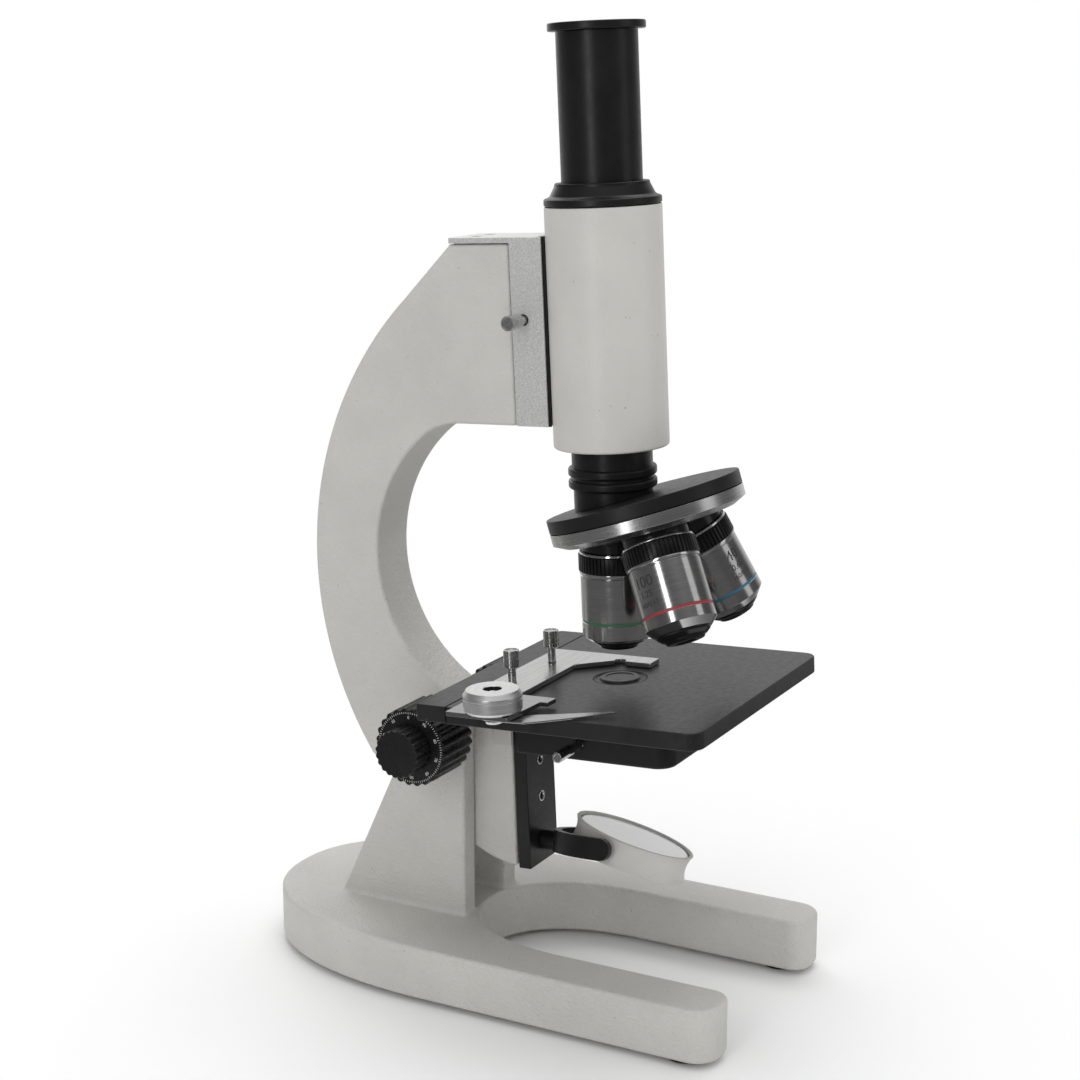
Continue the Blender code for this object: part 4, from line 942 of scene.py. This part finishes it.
cm = lathe("condenser_mount_form",
           [(0, ST + 0.2), (4.75, ST + 0.2, 0.05), (4.95, ST + 0.45, 0.12), (6.4, ST + 0.45, 0.3), (6.85, ST - 0.35, 0.1), (8.2, ST - 0.35, 0.05), (8.35, ST - 0.02, 0.08), (8.68, ST - 0.02, 0.08),
            (8.68, -27.2, 0.4), (7.0, -27.2, 0.2), (7.0, -12.0), (0, -12.0)], 128)
place(cm, ARM, M_STAGE, "stage", ["condenser_mount"])


def thumbscrew(name, node, M, body, head_r, head_len, shank_r, shank_len, tip_r, tip_len, count, mat=None):
    head = turned_outline(name, ribs(head_r, 0.24, count, fill=0.55, slope=0.14), shank_len, shank_len + head_len, 0.3, n=3)
    dish = lathe("c", [(0, shank_len + head_len - 0.22), (head_r - 0.75, shank_len + head_len - 0.22), (head_r - 0.45, shank_len + head_len + 0.3), (0, shank_len + head_len + 0.3)], 48)
    boolean(head, dish)
    sh = lathe("s", [(0, shank_len + 0.4), (shank_r, shank_len + 0.4), (shank_r, 0.4, 0.1), (shank_r * 0.9, 0.0), (tip_r, 0), (tip_r, -tip_len, 0.2), (0, -tip_len)], 40)
    boolean(head, sh, "UNION")
    place(head, M, mat or M_SCREW, body, [node], sharp=28)
    return head


thumbscrew("condenser_clamp_screw_form", "condenser_clamp_screw", ARM @ tr(-33.9, -1.9, -20.4) @ TO_NX, "condenser_clamp",
           1.75, 9.6, 1.35, 5.8, 1.3, 24.0, 18, mat=M_CROME)
thumbscrew("head_clamp_screw_form", "head_clamp_screw", ARM @ tr(-9.8, 24.9, 110.3) @ TO_NX, "head_clamp",
           2.45, 7.0, 1.35, 3.6, 1.35, 4.2, 22)

HZ = ST + 0.12
holder = rounded([(20.2, -4.7, 0.3), (20.2, 34.6, 0.5), (-38.0, 34.6, 0.4), (-38.0, 18.8, 0.4), (4.0, 18.8, 1.2), (12.9, 8.6, 0.6), (14.6, 8.5, 0.4),
                  (15.6, 7.4, 0.6), (15.6, 5.8, 0.6), (14.7, 4.8, 0.4), (13.2, 4.7, 0.4), (13.2, -4.7, 0.3)], n=4)
hp = prism("slide_holder_form", holder, HZ, HZ + 1.75, edge=0.22, segs=2)
for x in (-23.5, 3.8):
    boolean(hp, moved(lathe("c", [(0, 5), (1.55, 5), (1.55, -5), (0, -5)], 40), tr(x, 27.3, HZ)))
place(hp, ARM, M_HOLD, "stage", ["slide_holder"])
for nm, x, body in (("left", -23.5, "holder_thumbscrew_left"), ("right", 3.8, "holder_thumbscrew_right")):
    thumbscrew("holder_screw_%s_form" % nm, "holder_screw_" + nm, ARM @ tr(x, 27.3, HZ + 1.78), body, 2.6, 5.8, 1.35, 5.35, 1.25, 4.9, 24)

# ------------------------------------------------------------------ slide clip
CX, CY = -55.9, 16.0
FZ, FT = ST + 0.3, 0.7
CPZ, CPT = FZ + FT + 0.25, 1.4
clip_out = rounded([(-61.7, 29.9, 0.3), (-61.7, 8.0, 0.3), (-42.2, 6.9, 0.2), (-42.2, 4.4, 0.2), (-36.8, 4.2, 0.3), (-36.8, 17.9, 0.2), (-38.6, 17.9, 0.2), (-38.6, 29.9, 0.3)], n=3)
cp = prism("clip_base_plate_form", clip_out, CPZ, CPZ + CPT, edge=0.18, segs=2)
boolean(cp, moved(lathe("c", [(0, 9), (1.9, 9), (1.9, -9), (0, -9)], 40), tr(CX, CY, CPZ)))
boolean(cp, block("pad", (-49.0, 22.0, FZ - 0.1), (-42.0, 29.5, CPZ + 0.4)), "UNION")
place(cp, ARM, M_CLIP, "stage", ["clip_base_plate"])

tipx, tipy = -39.0 - CX, -17.4 - CY
side_a, side_b = [], []
NF = 44
for i in range(NF + 1):
    t = i / NF
    cx = -3.0 + (tipx + 3.0) * (t ** 1.25)
    cy = -3.0 + (tipy + 3.0) * t
    w = 5.0 * (1 - t) ** 0.8 + 0.55
    side_a.append((max(cx - w * 0.95, -3.9 + 2.4 * t), cy - w * 0.2))
    side_b.append((cx + w * 0.95, cy + w * 0.2))
tipc = arc((side_a[-1][0] / 2 + side_b[-1][0] / 2, side_a[-1][1] / 2 + side_b[-1][1] / 2 - 0.1), 0.5, 190, 350, 6)
fin = arc((0, 0), 4.1, 20, 195, 24) + side_a[1:-1] + tipc + list(reversed(side_b[1:-1]))
fg = prism("spring_finger_form", fin, FZ + 0.15, FZ + FT, edge=0.14, segs=2)
boolean(fg, lathe("c", [(0, 9), (1.9, 9), (1.9, -19), (0, -19)], 40))
place(fg, ARM @ tr(CX, CY, 0), M_FINGER, "clip_finger", ["spring_finger"])

CKZ = CPZ + CPT + 0.2
ck = lathe("clip_knob_form", [(1.9, 0.0), (8.6, 0.0, 0.2), (9.2, 0.8, 0.3), (9.3, 4.0, 0.05), (9.12, 4.12), (9.12, 4.3), (9.3, 4.42, 0.05), (9.3, 5.4, 0.3), (8.25, 6.95, 0.15), (2.95, 6.95, 0.25), (2.8, 4.6), (1.9, 4.6)], 160)
moved(ck, tr(0, 0, CKZ))


# the chrome knob's bore wall is painted black: painted shade in the hole round the pivot bolt
def shaded_bore_pick(c, n):
    return 1 if c.x ** 2 + c.y ** 2 < 2.9 ** 2 and c.z < CKZ + 6.7 else 0


place(ck, ARM @ tr(CX, CY, 0), [M_KNOBM, M_SHADE], "clip_knob", ["clip_knob"], sharp=30, pick=shaded_bore_pick)
pb = lathe("clip_pivot_bolt_form", [(0, CKZ + 6.3), (0.8, CKZ + 6.2, 0.5), (1.6, CKZ + 5.6, 0.6), (1.75, CKZ + 4.75, 0.3), (1.6, CKZ + 4.6), (1.6, FZ - 0.4), (3.0, FZ - 0.45, 0.15), (2.7, FZ - 1.5, 0.5), (0, FZ - 1.95)], 64)
place(pb, ARM @ tr(CX, CY, 0), M_CROME, "clip_knob", ["clip_pivot_bolt"], sharp=30)

# ---------------------------------------------------------------------- mirror
post = lathe("mirror_post_form", [(0, 6.1), (2.9, 6.1, 0.2), (3.3, 5.6, 0.2), (3.3, 0.3, 0.25), (2.75, 0.1), (2.75, -2.3), (0, -2.3)], 64)
place(post, ARM @ tr(0, 31.4, -67.8) @ TO_NY, M_FORK, "stage", ["mirror_post"])
TURN, TILT = 16.8, 15.9
FK = ARM @ tr(0, 0, -67.8) @ ry(TURN)
TY, TZ = -1.4, 2.4 * 0.6
RO, RI = 24.4, 22.0
y0 = 24.7
outp, inp = [], []
for i in range(61):
    a = pi * i / 60
    outp.append((RO * cos(a), y0 - 24.6 + 24.6 * sin(a)))
    inp.append((RI * cos(a), y0 - 24.6 + 22.2 * sin(a)))
end_y = TY - 3.6
fork = prism("mirror_fork_form", [(RO, end_y)] + outp + [(-RO, end_y), (-RI, end_y)] + list(reversed(inp)) + [(RI, end_y)], -3.6, 3.6)
side_prof = [(end_y + 3.6 + 0.0, 3.6)] + arc((end_y + 3.6, 0), 3.6, 90, 270, 20)[1:-1] + [(end_y + 3.6, -3.6), (40, -3.6), (40, 3.6)]
boolean(fork, moved(prism("c", side_prof, -40, 40), SIDE), "INTERSECT")
bevel(fork, 0.45, 3, 35)
for s in (-1, 1):
    boolean(fork, moved(lathe("c", [(0, 24.02), (1.45, 24.02), (1.45, 15), (0, 15)], 32), tr(0, TY, 0) @ (TO_X if s > 0 else TO_NX)))
moved(fork, tr(0, 0, TZ))
place(fork, FK, M_FORK, "mirror_fork", ["mirror_fork"])
CELL = FK @ tr(0, TY, TZ) @ rx(TILT)
C = 20.6
ring = [(0, 1.9), (C - 1.35, 1.9), (C - 1.35, 4.3, 0.1), (C - 1.15, 4.7, 0.2), (C - 0.25, 4.7, 0.3)]
for i in range(15):
    t = i / 14
    ring.append((C - 0.1 - 1.05 * sin(pi * t) ** 0.8, 4.35 - 8.5 * t))
ring += [(C - 0.25, -4.6, 0.35), (0, -4.6)]
cell = lathe("mirror_cell_form", ring, 160)
for s in (-1, 1):
    boolean(cell, moved(lathe("t", [(0, 23.9), (1.15, 23.9, 0.2), (1.15, 17.6), (0, 17.6)], 32), TO_X if s > 0 else TO_NX), "UNION")
place(cell, CELL, M_CELL, "mirror", ["mirror_cell"], sharp=45)
mg = lathe("mirror_glass_form", [(0, 4.05), (C - 2.3, 4.05, 0.1), (C - 1.6, 3.75, 0.1), (C - 1.6, 2.2), (0, 2.2)], 160)
place(mg, CELL, M_MIRROR, "mirror", ["mirror_glass"])

# ------------------------------------------- inner parts keep their solid form
for node, mt in (("coarse_pinion_shaft", M_STEEL), ("fine_shaft", M_STEEL), ("focus_rack", M_BRASS), ("idler_gear", M_BRASS),
                 ("hinge_bush_left", M_STEEL), ("hinge_bush_right", M_STEEL), ("field_lens", M_LENSC), ("condenser_lens", M_LENSC)):
    ob = frame["nodes"][node]
    if not ob.material_slots:
        ob.data.materials.append(mt)
    for sl in ob.material_slots:
        sl.material = mt

# ------------------------------------------------------- floor, lights, camera
ROOM = (0.34, 0.66)
DIM, BACKDROP, OVERHEAD = 0.10, 0.68, 0.22
bm = bmesh.new()
bmesh.ops.create_grid(bm, x_segments=8, y_segments=8, size=3.0)
floor = link("studio_floor", bm)
fm = bpy.data.materials.new("floor_white")
fm.use_nodes = True
nt = fm.node_tree
b = nt.nodes["Principled BSDF"]
b.inputs["Base Color"].default_value = (0.95, 0.95, 0.95, 1)
b.inputs["Roughness"].default_value = 0.55
b.inputs["Specular IOR Level"].default_value = 0.25
geo = nt.nodes.new("ShaderNodeTexCoord")
ln = nt.nodes.new("ShaderNodeVectorMath")
ln.operation = "LENGTH"
mr = nt.nodes.new("ShaderNodeMapRange")
mr.interpolation_type = "SMOOTHSTEP"
mr.inputs["From Min"].default_value = 0.11
mr.inputs["From Max"].default_value = 0.27
em = nt.nodes.new("ShaderNodeEmission")
em.inputs["Color"].default_value = (1, 1, 1, 1)
# the room's near side is dim in what mirrors the far floor, as it is in the backdrop
fd = nt.nodes.new("ShaderNodeVectorMath")
fd.operation = "DOT_PRODUCT"
fd.inputs[1].default_value = (0.880, 0.474, 0.0)
fr = nt.nodes.new("ShaderNodeMapRange")
fr.interpolation_type = "SMOOTHSTEP"
for key, val in (("From Min", 0.05), ("From Max", 0.75), ("To Min", 0.13), ("To Max", 0.70)):
    fr.inputs[key].default_value = val
fl = nt.nodes.new("ShaderNodeLightPath")
fx = nt.nodes.new("ShaderNodeMix")
fx.data_type = "FLOAT"
fx.inputs[2].default_value = 1.0
nt.links.new(geo.outputs["Object"], fd.inputs[0])
nt.links.new(fd.outputs["Value"], fr.inputs["Value"])
nt.links.new(fl.outputs["Is Glossy Ray"], fx.inputs[0])
nt.links.new(fr.outputs["Result"], fx.inputs[3])
nt.links.new(fx.outputs[0], em.inputs["Strength"])
mx = nt.nodes.new("ShaderNodeMixShader")
nt.links.new(geo.outputs["Object"], ln.inputs[0])
nt.links.new(ln.outputs["Value"], mr.inputs["Value"])
nt.links.new(mr.outputs[0], mx.inputs[0])
nt.links.new(b.outputs[0], mx.inputs[1])
nt.links.new(em.outputs[0], mx.inputs[2])
nt.links.new(mx.outputs[0], nt.nodes["Material Output"].inputs["Surface"])
floor.data.materials.append(fm)

world = bpy.data.worlds.new("studio")
bpy.context.scene.world = world
world.use_nodes = True
wn = world.node_tree
for n in list(wn.nodes):
    wn.nodes.remove(n)
out = wn.nodes.new("ShaderNodeOutputWorld")


def backdrop(strength=1.0, colour=(1, 1, 1, 1)):
    n = wn.nodes.new("ShaderNodeBackground")
    n.inputs["Color"].default_value = colour
    n.inputs["Strength"].default_value = strength
    return n


def wmap(v, a0, a1, b0, b1):
    n = wn.nodes.new("ShaderNodeMapRange")
    n.interpolation_type = "SMOOTHSTEP"
    for key, val in (("From Min", a0), ("From Max", a1), ("To Min", b0), ("To Max", b1)):
        n.inputs[key].default_value = val
    wn.links.new(v, n.inputs["Value"])
    return n.outputs["Result"]


tc = wn.nodes.new("ShaderNodeTexCoord")
sp = wn.nodes.new("ShaderNodeSeparateXYZ")
wn.links.new(tc.outputs["Generated"], sp.inputs[0])
dot = wn.nodes.new("ShaderNodeVectorMath")
dot.operation = "DOT_PRODUCT"
dot.inputs[1].default_value = (0.880, 0.474, 0.0)
wn.links.new(tc.outputs["Generated"], dot.inputs[0])
# soft white room: even for what it lights, a bright backdrop and a dim near side for what it mirrors
even = backdrop()
near = wn.nodes.new("ShaderNodeVectorMath")
near.operation = "DOT_PRODUCT"
near.inputs[1].default_value = (-0.62, -0.78, 0.0)
wn.links.new(tc.outputs["Generated"], near.inputs[0])
sm = wn.nodes.new("ShaderNodeMath")
sm.operation = "ADD"
wn.links.new(wmap(sp.outputs["Z"], -0.1, 0.9, ROOM[0], ROOM[1]), sm.inputs[0])
wn.links.new(wmap(near.outputs["Value"], -0.3, 0.9, 0.0, 0.18), sm.inputs[1])
wn.links.new(sm.outputs[0], even.inputs["Strength"])
seen = backdrop()
behind = wmap(dot.outputs["Value"], 0.40, 0.95, DIM, BACKDROP)
above = wmap(sp.outputs["Z"], 0.35, 0.95, 0.0, OVERHEAD)
add = wn.nodes.new("ShaderNodeMath")
add.operation = "ADD"
wn.links.new(behind, add.inputs[0])
wn.links.new(above, add.inputs[1])
wn.links.new(add.outputs[0], seen.inputs["Strength"])
white = backdrop(1.0)
lp = wn.nodes.new("ShaderNodeLightPath")
m1 = wn.nodes.new("ShaderNodeMixShader")
m2 = wn.nodes.new("ShaderNodeMixShader")
wn.links.new(lp.outputs["Is Glossy Ray"], m1.inputs[0])
wn.links.new(even.outputs[0], m1.inputs[1])
wn.links.new(seen.outputs[0], m1.inputs[2])
wn.links.new(lp.outputs["Is Camera Ray"], m2.inputs[0])
wn.links.new(m1.outputs[0], m2.inputs[1])
wn.links.new(white.outputs[0], m2.inputs[2])
wn.links.new(m2.outputs[0], out.inputs["Surface"])


def area(name, loc, target, sx, sy, power, spread=180):
    li = bpy.data.lights.new(name, "AREA")
    li.shape = "RECTANGLE"
    li.size, li.size_y = sx, sy
    li.energy = power
    li.spread = radians(spread)
    ob = bpy.data.objects.new(name, li)
    bpy.context.scene.collection.objects.link(ob)
    ob.location = loc
    d = Vector(target) - Vector(loc)
    ob.rotation_euler = d.to_track_quat("-Z", "Y").to_euler()
    ob.visible_camera = False
    return ob


area("key_left", (-1.10, -0.04, 0.42), (0, 0, 0.17), 0.20, 0.95, 2.2)
area("key_front", (0.22, -1.10, 0.46), (0, 0, 0.17), 0.40, 0.95, 0.7)
area("ceiling", (0.35, 0.12, 1.15), (0, 0, 0), 0.9, 0.9, 5.2)
area("rear_rim", (0.75, 0.85, 0.65), (0, 0, 0.15), 0.5, 0.8, 1.0)

sun = bpy.data.lights.new("soft_sun", "SUN")
sun.energy = 0.25
sun.angle = radians(70)
so = bpy.data.objects.new("soft_sun", sun)
bpy.context.scene.collection.objects.link(so)
so.rotation_euler = (radians(12), radians(-8), 0)

cam = bpy.data.cameras.new("camera")
cam.sensor_width = 36.0
cam.lens = 70.885
cam.clip_start = 0.01
cam.clip_end = 50
co = bpy.data.objects.new("camera", cam)
bpy.context.scene.collection.objects.link(co)
co.location = (-0.593747, -0.330489, 0.308301)
co.rotation_euler = (radians(90 - 13.04525), 0, radians(-61.68463))
bpy.context.scene.camera = co

bpy.context.scene.view_settings.view_transform = "Standard"
bpy.context.scene.view_settings.look = "None"
